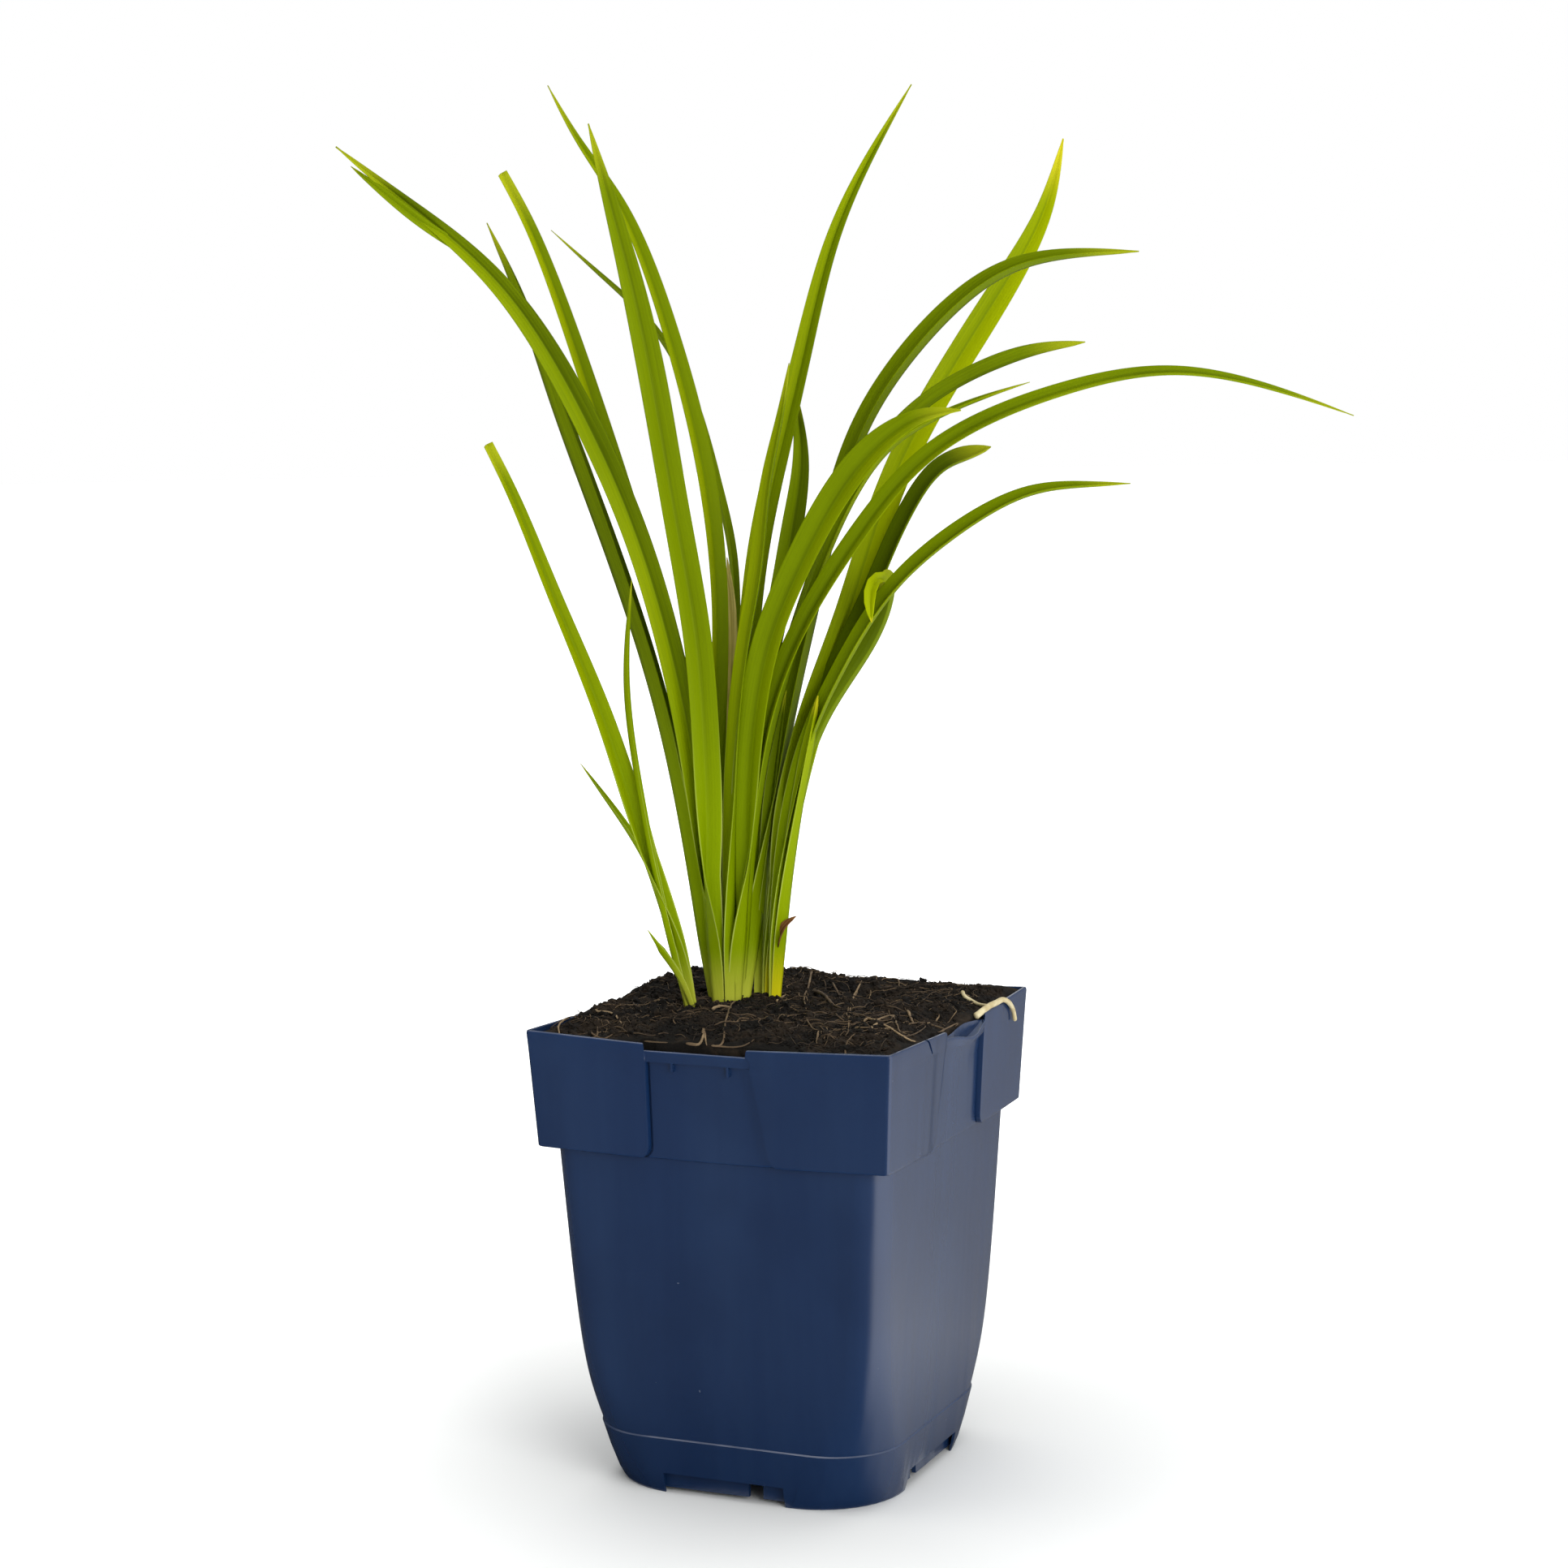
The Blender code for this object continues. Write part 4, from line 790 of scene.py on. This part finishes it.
# Roots like those that the photograph shows wander over the soil by this stride and bend, and rise a little.
WILD_ROOTS, WILD_REACH, WILD_STEPS, WILD_STRIDE, WILD_BEND = 170, 47.0, 13, 2.6, 0.8
WILD_RADIUS, WILD_PALLOR, WILD_RISE, WILD_SIDES, WILD_TIP = (0.1, 0.24), (0.0, 0.65), (-0.2, 3.0), 5, 0.5
ROOT_SIDES, ROOT_SWELL, ROOT_LIFT, ROOT_TIP, ROOT_BEND = 8, 1.05, 0.2, 0.6, 0.12
# A root's thickness is uneven by this share, and its ends are rounded off to this one.
ROOT_KNOBS, ROOT_END = 0.14, 0.55
# How often the view through a pixel is brought to the soil's level, and the least distance from the wall.
SOIL_LOOKS, SOIL_ROOM = 12, 0.6
ROOT_DRY, ROOT_BROWN, ROOT_PALE = (0.03, 0.02, 0.012, 1.0), (0.09, 0.058, 0.03, 1.0), (0.27, 0.19, 0.105, 1.0)


def on_soil(pixel, lift):
    """The point of the soil behind this pixel, in millimetres."""
    right, down = pixel[0] - PHOTO_SIDE / 2, pixel[1] - PHOTO_SIDE / 2
    ray = (right * camera_right - down * camera_up) / FOCAL_PIXELS - camera_back
    place, most = Vector((0.0, 0.0, SOIL_EDGE)), SOIL_HALF - SOIL_ROOM
    for _ in range(SOIL_LOOKS):
        place = (CAMERA_PLACE + ray * ((place.z * MM - CAMERA_PLACE.z) / ray.z)) / MM
        place.x, place.y = (max(-most, min(most, value)) for value in place.xy)
        place.z = rough_height(place.x, place.y) + lift
    return place


def root_tube(points, radius, sides, tip, seed):
    """A root's skin along a line, uneven in its thickness and thinner towards its end."""
    line = [Vector(point) for point in points]
    rings = []
    for i, point in enumerate(line):
        along = (line[min(i + 1, len(line) - 1)] - line[max(i - 1, 0)]).normalized()
        guide = along.orthogonal() if i == 0 else across
        across = (guide - along * guide.dot(along)).normalized()
        side = along.cross(across)
        share = i / (len(line) - 1)
        knobs = 1 + ROOT_KNOBS * noise.noise(Vector((seed * 3.7, share * 9.0, 0.0)))
        size = radius * (1 - (1 - tip) * share) * knobs
        if i in (0, len(line) - 1):
            size *= ROOT_END
        rings.append([point + size * (math.cos(a) * across + math.sin(a) * side)
                      for a in (2 * math.pi * k / sides for k in range(sides))])
    return skin(rings)


def paint(piece, name, parts, values):
    """A number on each point: the same all over each part."""
    mark(piece.data, name, np.concatenate([np.full(len(points), value)
                                           for (points, _), value in zip(parts, values)]))


root_parts, root_tones = [], []
for number, (route, radius, pallor) in enumerate(SEEN_ROOTS):
    radius *= ROOT_SWELL
    knees = [on_soil(pixel, radius + ROOT_LIFT) for pixel in route]
    line = [knees[0].lerp(knees[-1], k / 5) for k in range(6)]
    if len(knees) > 2:
        line = smooth_line(knees, 4 * len(knees))
    draw = np.random.default_rng((SOIL_SEED, number))
    line = [Vector(p) + Vector((*draw.uniform(-ROOT_BEND, ROOT_BEND, 2), 0.0)) for p in line]
    root_parts.append(root_tube(line, radius, ROOT_SIDES, ROOT_TIP, number))
    root_tones.append(pallor)
for number in range(WILD_ROOTS):
    draw = np.random.default_rng((SOIL_SEED, 500 + number))
    place, heading = draw.uniform(-WILD_REACH, WILD_REACH, 2), draw.uniform(0, 2 * math.pi)
    radius, pallor = draw.uniform(*WILD_RADIUS), draw.uniform(*WILD_PALLOR)
    knees = []
    for _ in range(WILD_STEPS):
        if max(abs(place)) < WILD_REACH + 2:
            knees.append(Vector((*place, rough_height(*place) + radius * draw.uniform(*WILD_RISE))))
        heading += draw.uniform(-WILD_BEND, WILD_BEND)
        place = place + WILD_STRIDE * np.array([math.cos(heading), math.sin(heading)])
    if len(knees) > 4:
        line = smooth_line(knees, 3 * len(knees))
        root_parts.append(root_tube(line, radius, WILD_SIDES, WILD_TIP, 60 + number))
        root_tones.append(pallor)
skinned = Finish("root_skin", Roughness=0.75, Specular_IOR_Level=0.25)
pallor = skinned.attribute("pallor") + (skinned.noise(240.0, 3.0) - 0.5) * 0.8
colour = skinned.mix(skinned.ramp(pallor, 0.0, 0.5), ROOT_DRY, ROOT_BROWN)
skinned.feed(Base_Color=skinned.mix(skinned.ramp(pallor, 0.45, 0.95), colour, ROOT_PALE))
skinned.bump(skinned.noise(1600.0, 3.0), 0.5, 0.0002)
roots = solid("soil_roots", root_parts, skinned)
paint(roots, "pallor", root_parts, root_tones)
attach(roots, "root")
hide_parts("soil")


# The leaves grow in fans from short crowns: long straps folded along a midrib, closed and pale at the foot,
# and open, arched and pointed above, with fine lines along them. Three shoots stand in the pot, two of them
# together.
FAN_TURN = math.radians(23.6)
# A blade's thickness at its rib and its margin, and in a slender point: a share of half the width, and a
# least one.
BLADE_THICK, BLADE_EDGE, POINT_THICK, LEAST_THICK = 0.62, 0.24, 0.5, 0.06
# A leaf that starts below LEAF_FOOT has a foot, folded to this angle and narrowed to this share of its width.
# It widens over FOOT_LENGTH and opens over OPENING.
LEAF_FOOT, FOOT_FOLD, FOOT_SHARE, FOOT_LENGTH, OPENING = 140.0, 26.0, 0.7, 26.0, 70.0
# The share of the width left at a point and at a cut end, a point's fullness, and the taper before a cut.
POINT_END, CUT_END, POINT_FULLNESS, CUT_TAPER = 0.05, 0.42, 0.75, 130.0
# The stations along a blade and the points across it, the halves' outward curl and the rib's rounding. Its
# turn wavers by this angle over this length.
STATION_GAP, LEAST_STATIONS, ACROSS_STEPS, CURL, RIB_ROUND = 2.4, 9, 13, 0.1, 0.012
WAVER, WAVER_LENGTH, WAVER_APART = 7.0, 55.0, 5.1
# Each leaf: its name, its line from foot to tip as (across, depth, up) in an upright plane turned by FAN_TURN
# from X, its flat width, its fold and turn in degrees, the length of its point, with 0 for a cut end, its
# tone, which is partly its own colour and partly painted shade, low on the leaves that lie in shade, and how
# much its upper half is painted darker and its lower half lighter, or the other way where that is negative,
# as painted light and shade from one side.
MAIN_LEAVES = (
    ("long_left", ((-18, 6, 125), (-22, 1, 183), (-32, -8, 240), (-46, -20, 282), (-69, -36, 324),
                   (-92, -50, 346), (-109, -60, 360)), 8.0, 118, 88, 110, 0.4, 0.5),
    ("long_left_split", ((-80.5, -41, 335.6), (-88.9, -48.5, 341.4), (-98.6, -54, 349.3),
                         (-105.9, -56, 355.4)), 3.2, 118, 88, 22, 0.5, 0.2),
    ("shaded_left", ((-18.4, 7, 125), (-24.3, 6, 169), (-33, 8, 214), (-47, 14, 259), (-60, 22, 295),
                     (-71, 30, 326), (-80, 36, 346)), 9.2, 62, 10, 80, 0.22, 0.3),
    ("cut_left", ((-18, 8, 125), (-22, 10, 191), (-32, 10, 236), (-44.5, 8, 280), (-55.4, 4, 316),
                  (-64.7, 0, 342), (-72, -4, 357)), 8.2, 120, 60, 0, 0.62, 0.45),
    ("tall_left", ((-17, 8, 125), (-18, 12, 186), (-16, 15, 236), (-19.4, 20, 276), (-27.6, 28, 311),
                   (-41, 38, 348), (-53.5, 44, 368), (-63, 50, 385)), 7.0, 120, 50, 110, 0.6, 0.3),
    ("broad_left", ((-18, 4, 125), (-20, -4, 199), (-22, -8, 233), (-27, -11, 267), (-32, -16, 300),
                    (-38, -24, 331), (-44, -30, 355), (-47, -34, 367)), 8.8, 124, 72, 80, 0.43, 0.15),
    ("thin_left", ((-16, 9, 125), (-13, 20, 203), (-12, 26, 249), (-16, 30, 271), (-24, 36, 299),
                   (-35, 40, 318), (-49, 45, 331.8), (-63, 50, 344.5)), 5.0, 100, 20, 90, 0.4, 0.2),
    ("tall_middle", ((-15, 8, 125), (-11, 14, 193), (-6, 18, 249), (0.6, 20, 280), (8, 20, 309),
                     (15.8, 16, 337), (25.3, 10, 358), (38, 0, 379)), 7.4, 112, 78, 130, 0.56, -0.4),
    ("front_middle", ((-15, 4, 125), (-14, -1, 188), (-10, -6, 228), (-6, -9, 250), (-3, -13, 272),
                      (1, -16, 290), (4, -20, 305)), 7.4, 108, 32, 60, 0.55, -0.3),
    ("short_middle", ((-14, 7, 125), (-8, 8, 200), (0.4, 8, 240), (4.8, 12, 263), (7, 18, 280), (5, 26, 301)),
     7.2, 120, 88, 55, 0.3, -0.35),
    ("outer_right", ((-12, 7, 125), (-7.2, 13, 158), (1, 16, 204), (9, 15, 239), (19, 8, 277.5), (31, 2, 301),
                     (49, -4, 321), (68, -10, 331.5), (97, -18, 333)), 10.6, 92, 25, 72, 0.38, 0.05),
    ("dark_right", ((-13, 8, 125), (-6, 8, 193), (6, 4, 236), (18, 0, 266), (33, -4, 288), (49, -8, 300),
                    (68, -12, 307.5), (83, -15, 309.5)), 8.0, 100, -25, 26, 0.2, 0.3),
    ("front_right", ((-14, 5, 125), (-10, -1, 188), (-4, -9, 228), (6, -18, 253), (16, -26, 271),
                     (28, -36, 285), (39, -42, 291), (48, -46, 292)), 10.0, 120, 58, 40, 0.52, 0.3),
    ("thin_right", ((-13, 6, 125), (-8, 3, 192), (4, -1, 230), (16, -6, 260), (28, -12, 280), (40, -18, 289),
                    (54, -24, 295), (67, -30, 299)), 4.6, 100, 20, 60, 0.5, 0.3),
    ("long_right", ((-14, 5, 125), (-10, 1, 174), (-5, -4, 206), (5, -9, 233), (22.4, -15, 260.8),
                    (42.9, -20, 282.6), (74, -24, 296.6), (104, -26, 301.6), (130, -26, 297),
                    (153, -24, 289)), 7.3, 110, 48, 165, 0.5, 0.3),
)
RIGHT_LEAVES = (
    ("broad_right", ((-4, 10, 125), (-0.5, 10, 168), (8.8, 14, 207), (19.8, 20, 236), (32.3, 28, 271),
                     (50.2, 36, 303.5), (70, 44, 334), (78.4, 48, 351), (83, 49.6, 368)),
     9.2, 120, 88, 65, 0.85, 0.3),
    ("shaded_right", ((-4.8, 10, 125), (-0.4, 12, 172), (11.4, 14, 213), (24, 15.6, 239.2), (30.9, 18, 254.4),
                      (37.8, 20, 267.5), (46.6, 22.4, 277.4), (60.2, 24, 281.6)),
     8.6, 104, 35, 10, 0.24, 0.35),
    ("kinked_right", ((-3, 10, 125), (1.2, 10, 170), (7.6, 8, 200), (16, 8, 216), (24.6, 9, 229),
                      (28.7, 8, 238.6), (29.4, 3, 244.8), (28.4, -3, 247.2)), 8.6, 110, -55, 10, 0.3, -0.5),
    ("kinked_tongue", ((30.2, 0, 245.6), (28, -6, 247.2), (25.4, -11, 245.4), (24.7, -12.4, 240.4),
                       (25.3, -12.4, 235.4)), 4.2, 110, 75, 9, 1.0, 0.2),
    ("arched_right", ((-3, 8, 125), (0, 5, 171), (7, 1, 202), (16, -4, 222), (29, -10, 243), (46, -16, 259),
                      (66, -20, 270), (81, -22, 272), (94, -24, 272)), 7.4, 100, 32, 60, 0.55, 0.2),
    ("inner_sheath", ((-7.6, 12, 125), (-6.4, 13, 150), (-3.4, 14, 185), (2.0, 15, 215)),
     5.4, 90, 60, 40, 0.1, 0.1),
    ("outer_sheath", ((-2.6, 8, 125), (-0.2, 5, 153), (3.6, 2, 180), (7, 0, 198), (10.6, -3, 215)),
     7.0, 80, 20, 20, 0.78, 0.2),
)
LEFT_LEAVES = (
    ("cut_outer", ((-25, 0, 125), (-29, -1, 147), (-37, -3, 175), (-47.6, -8, 211), (-59.8, -13, 244),
                   (-69, -18, 269), (-76, -22, 285)), 8.4, 110, 58, 0, 0.68, 0.15),
    ("thin_upright", ((-25.5, -1, 125), (-33, -4, 159), (-38, -8, 189), (-41, -12, 218), (-40, -15, 238),
                      (-39, -17, 248)), 3.6, 90, 10, 40, 0.5, 0.2),
    ("short_back", ((-26, 0, 125), (-31, 4, 151), (-37, 8, 168), (-46, 13, 182), (-56, 18, 195)),
     4.2, 90, 20, 40, 0.4, 0.2),
    ("outer_spike", ((-24, -1, 125), (-28, -4, 137), (-32, -6, 144), (-37, -9, 152)),
     3.4, 80, 20, 20, 0.55, 0.2),
)
# The greens run from deep to lit. The tint between them is partly the leaf's own colour and partly painted
# shade and light.
GREEN_DEEP, GREEN, GREEN_LIT = (0.055, 0.082, 0.0, 1.0), (0.13, 0.182, 0.0, 1.0), (0.26, 0.315, 0.0, 1.0)
GREEN_LOW, GREEN_FOOT, YELLOW_FOOT = (0.21, 0.3, 0.0, 1.0), (0.5, 0.53, 0.05, 1.0), (0.74, 0.66, 0.01, 1.0)
GREEN_TIP, YELLOW_TIP = (0.36, 0.38, 0.01, 1.0), (0.66, 0.56, 0.02, 1.0)
GREEN_MARGIN = (0.45, 0.52, 0.12, 1.0)
# The veins lie this far apart, in metres.
VEIN_GAP = 0.00085


def fan_to_world(points):
    """From (across, depth, up) to X, Y and Z, in millimetres."""
    across, depth, up = np.moveaxis(np.asarray(points, float), -1, 0)
    return np.stack([across * math.cos(FAN_TURN) - depth * math.sin(FAN_TURN),
                     across * math.sin(FAN_TURN) + depth * math.cos(FAN_TURN), up], -1)


def eased(share):
    share = min(max(share, 0.0), 1.0)
    return share * share * (3 - 2 * share)


def leaf_width(width, point, distance, left):
    """The flat width at this distance from the foot and from the tip: drawn in at the foot and at the tip."""
    if distance < FOOT_LENGTH:
        return width * (FOOT_SHARE + (1 - FOOT_SHARE) * eased(distance / FOOT_LENGTH))
    if point and left < point:
        return width * max(math.sin(math.pi / 2 * left / point) ** POINT_FULLNESS, POINT_END)
    if not point:
        return width * min(1.0, CUT_END + (1 - CUT_END) * left / CUT_TAPER)
    return width


def leaf_body(path, width, fold, turn, point, seed, thick):
    """The closed skin of one blade, with each point's share of the length, side, UV and place across."""
    span = sum(math.dist(low, high) for low, high in zip(path, path[1:]))
    stations = max(round(span / STATION_GAP), LEAST_STATIONS)
    line = smooth_line(path, stations)
    length = np.concatenate([[0.0], np.cumsum(np.linalg.norm(np.diff(line, axis=0), axis=1))])
    lean = 1.0 if path[-1][0] > path[0][0] else -1.0
    from_soil = path[0][2] < LEAF_FOOT
    across = np.sin(np.linspace(-1, 1, ACROSS_STEPS) * math.pi / 2)
    rings, shares, sides, lengths, halves = [], [], [], [], []
    for i, spot in enumerate(line):
        along = Vector(line[min(i + 1, stations - 1)] - line[max(i - 1, 0)]).normalized()
        depth = Vector((0.0, 1.0, 0.0))
        sideways = (depth - along * depth.dot(along)).normalized()
        channel = lean * along.cross(sideways)
        opened = eased(length[i] / OPENING) if from_soil else 1.0
        waver = noise.noise(Vector((seed * WAVER_APART, length[i] / WAVER_LENGTH, 0.0)))
        bend = math.radians(turn + WAVER * waver) * opened
        reach = leaf_width(width, point, length[i] if from_soil else FOOT_LENGTH, length[-1] - length[i]) / 2
        half_fold = math.radians(FOOT_FOLD + (fold - FOOT_FOLD) * opened) / 2
        inward = np.array(math.cos(bend) * channel - math.sin(bend) * sideways)
        spread = np.array(math.sin(bend) * channel + math.cos(bend) * sideways)
        seen_span = (0.0, math.cos(half_fold - bend), math.cos(half_fold + bend))
        middle = np.array(spot) - np.array(channel) * (reach * (max(seen_span) + min(seen_span)) / 2)
        rise = np.sqrt(across**2 + RIB_ROUND) - math.sqrt(RIB_ROUND)
        rise /= math.sqrt(1 + RIB_ROUND) - math.sqrt(RIB_ROUND)
        rise = rise * math.cos(half_fold) + CURL * opened * np.abs(across) * (1 - np.abs(across)) * 2
        wide = across * math.sin(half_fold)
        slope = np.gradient(rise, across), np.gradient(wide, across)
        size = np.hypot(*slope)
        body = min(thick, POINT_THICK * reach + LEAST_THICK)
        half = (BLADE_EDGE + (body - BLADE_EDGE) * (1 - np.abs(across) ** 3)) / 2
        if body < BLADE_EDGE:
            half = np.full(ACROSS_STEPS, body / 2)
        ring = []
        for sign, order in ((1, range(ACROSS_STEPS)), (-1, range(ACROSS_STEPS - 1, -1, -1))):
            for k in order:
                up = reach * rise[k] + sign * half[k] * slope[1][k] / size[k]
                out = reach * wide[k] - sign * half[k] * slope[0][k] / size[k]
                ring.append(middle + inward * up + spread * out)
                sides.append(across[k] * sign)
                halves.append(across[k])
        rings.append(fan_to_world(ring))
        shares += [length[i] / length[-1]] * (2 * ACROSS_STEPS)
        lengths += [(reach * abs(side), length[i]) for side in sides[-2 * ACROSS_STEPS:]]
    return skin(rings), shares, sides, lengths, halves


def leaf_piece(name, leaves, finish, node, thick=BLADE_THICK):
    """One shoot's blades in one mesh, with the numbers and the UV map that their finish reads."""
    bodies = [leaf_body(path, width, fold, turn, point, seed, thick)
              for seed, (_, path, width, fold, turn, point, *_) in enumerate(leaves)]
    parts = [body[0] for body in bodies]
    piece = solid(name, parts, finish)
    paint(piece, "tone_and_shade", parts, [leaf[6] for leaf in leaves])
    paint(piece, "painted_half_shade", parts, [leaf[7] for leaf in leaves])
    for label, values in (("share", [v for body in bodies for v in body[1]]),
                          ("side", [v for body in bodies for v in body[2]]),
                          ("half", [v for body in bodies for v in body[4]])):
        mark(piece.data, label, values)
    flat = np.array([pair for body in bodies for pair in body[3]], np.float32) * MM
    corners = np.empty(len(piece.data.loops), np.int32)
    piece.data.loops.foreach_get("vertex_index", corners)
    piece.data.uv_layers.new(name="along").data.foreach_set("uv", flat[corners].ravel())
    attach(piece, "root")
    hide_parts(node)


def strap_finish():
    """A strap leaf's finish: lines along it, a pale foot and margin, a yellow tip, painted light and shade on
    its two halves, and painted shade along the midrib.
    """
    strap = Finish("strap_leaf", Specular_IOR_Level=0.02)
    labels = "share", "side", "tone_and_shade", "painted_half_shade", "half"
    share, side, tone_and_shade, painted_half_shade, half = (strap.attribute(label) for label in labels)
    flat = strap.add("TexCoord", output=2)
    from_rib = strap.add("SeparateXYZ", None, {0: flat}, 0)
    height = strap.add("SeparateXYZ", None, {0: strap.add("TexCoord", output=3)}, 2)
    away = strap.add("Math", {"operation": "ABSOLUTE"}, {0: side})
    lengthways = strap.add("Mapping", None, {0: flat, 3: (1.0, 0.012, 1.0)})
    lines = strap.noise(2600.0, 2.0, lengthways)
    veins = strap.add("Math", {"operation": "SINE"}, {0: from_rib * (2 * math.pi / VEIN_GAP)})
    patches = strap.noise(26.0, 3.0, stretch=(1.0, 1.0, 0.3))
    # The tone is partly each leaf's own colour and partly painted shade, low on the leaves that lie in shade.
    tint = tone_and_shade + (patches - 0.5) * 0.4 + (lines - 0.5) * 0.25 + veins * 0.012
    # Painted light and shade: one half of each folded blade is darker and the other lighter, as if lit from
    # one side, and painted shade darkens the fold along the midrib.
    tint = tint - painted_half_shade * (strap.ramp(half, -0.08, 0.08) - 0.5) * 0.8 - strap.ramp(away, 0.4, 0.05) * 0.12
    colour = strap.mix(strap.ramp(tint, 0.05, 0.5), GREEN_DEEP, GREEN)
    colour = strap.mix(strap.ramp(tint, 0.45, 1.0), colour, GREEN_LIT)
    colour = strap.mix(strap.ramp(height, 0.24, 0.15) * 0.75, colour, GREEN_LOW)
    margin = strap.ramp(away, 0.9, 0.99) * strap.ramp(height, 0.215, 0.16) * 0.8
    colour = strap.mix(margin, colour, GREEN_MARGIN)
    foot = strap.mix(strap.ramp(tone_and_shade, 0.7, 0.76), GREEN_FOOT, YELLOW_FOOT)
    colour = strap.mix(strap.ramp(height, 0.146, 0.128) * (0.7 + 0.4 * lines), colour, foot)
    tip = strap.mix(strap.ramp(tone_and_shade, 0.7, 0.8), GREEN_TIP, YELLOW_TIP)
    colour = strap.mix(strap.ramp(share, 0.92, 0.99) * 0.6, colour, tip)
    strap.feed(Base_Color=colour, Roughness=0.4 + lines * 0.2)
    strap.bump(veins * 0.35 + lines * 0.9, 0.2, 0.00012)
    return strap


strap = strap_finish()
leaf_piece("main_fan_leaves", MAIN_LEAVES, strap, "main_fan")
leaf_piece("right_fan_leaves", RIGHT_LEAVES, strap, "right_fan")
leaf_piece("left_shoot_leaves", LEFT_LEAVES, strap, "left_shoot")


# Two old parts have dried: a narrow tan leaf in the middle of the main fan, and a short torn brown scale at
# the foot of the right one. They are thin and papery, with dark lines along them.
DRY_LEAF = (("dry_leaf", ((-15, 9, 125), (-14, 16, 181), (-13, 18, 226), (-13, 20, 240), (-14, 21, 252)),
             5.0, 130, 45, 30, 0.5, 0.0),)
DRY_SCALE = (("dry_scale", ((-1.8, 6.5, 146.0), (-1.0, 4.0, 148.6), (0.8, 2.4, 151.2), (3.8, 1.6, 153.4)),
              4.8, 130, 25, 9, 0.5, 0.0),)
DRY_THICK = 0.45
STRAW, STRAW_DARK = (0.44, 0.36, 0.1, 1.0), (0.27, 0.22, 0.05, 1.0)
RUSSET, RUSSET_DARK = (0.27, 0.12, 0.036, 1.0), (0.12, 0.045, 0.014, 1.0)
for name, leaves, node, pale_dry, dark_dry in (("dry_leaf", DRY_LEAF, "main_fan", STRAW, STRAW_DARK),
                                               ("dry_scale", DRY_SCALE, "right_fan", RUSSET, RUSSET_DARK)):
    papery = Finish(name + "_paper", Roughness=0.75, Specular_IOR_Level=0.1)
    lengthways = papery.add("Mapping", None, {0: papery.add("TexCoord", output=2), 3: (1.0, 0.03, 1.0)})
    lines = papery.noise(2200.0, 3.0, lengthways)
    papery.feed(Base_Color=papery.mix(papery.ramp(lines, 0.35, 0.65), dark_dry, pale_dry))
    papery.bump(lines, 0.5, 0.0003)
    leaf_piece(name, leaves, papery, node, DRY_THICK)


# One thick young root has left the soil at the right-hand side. It climbs over the rim and hangs down
# outside, with a thinner branch that lies back on the soil. It is cream, firm and slightly uneven.
RIM_ROOT_PATH = ((50.9, 15.2, 125.9), (51.9, 18.4, 127.0), (52.6, 22.4, 127.8), (53.1, 26.6, 128.0),
                 (53.5, 30.6, 128.1), (54.0, 33.4, 127.0), (53.9, 36.2, 125.4), (53.7, 38.8, 123.2),
                 (53.6, 40.2, 120.4))
# The branch starts at these pixels, just above the soil, and ends in the root.
BRANCH_PIXELS, BRANCH_LIFT = ((1186, 1223), (1190, 1227), (1196, 1231), (1204, 1234)), 0.7
BRANCH_JOIN = (52.3, 21.5, 127.9)
# Radius, sides, share left at the tip, and number of rings.
RIM_ROOT_RADIUS, RIM_ROOT_SIDES, RIM_ROOT_TIP, RIM_ROOT_RINGS = 0.95, 14, 0.62, 60
BRANCH_RADIUS, BRANCH_SIDES, BRANCH_TIP, BRANCH_RINGS = 0.6, 12, 0.75, 34
CREAM_DEEP, CREAM = (0.42, 0.34, 0.17, 1.0), (0.58, 0.51, 0.31, 1.0)

cream = Finish("young_root", Roughness=0.5, Specular_IOR_Level=0.35)
cream.feed(Base_Color=cream.mix(cream.ramp(cream.noise(330.0, 3.0), 0.35, 0.7), CREAM_DEEP, CREAM))
cream.bump(cream.noise(700.0, 3.0), 0.4, 0.0003)
branch = [*(tuple(on_soil(pixel, BRANCH_LIFT)) for pixel in BRANCH_PIXELS), BRANCH_JOIN]
main_line, branch_line = smooth_line(RIM_ROOT_PATH, RIM_ROOT_RINGS), smooth_line(branch, BRANCH_RINGS)
limbs = [root_tube(main_line, RIM_ROOT_RADIUS, RIM_ROOT_SIDES, RIM_ROOT_TIP, 1),
         root_tube(branch_line, BRANCH_RADIUS, BRANCH_SIDES, BRANCH_TIP, 2)]
rim_root = solid("rim_root_skin", limbs, cream)
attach(rim_root, "root")
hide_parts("rim_root")
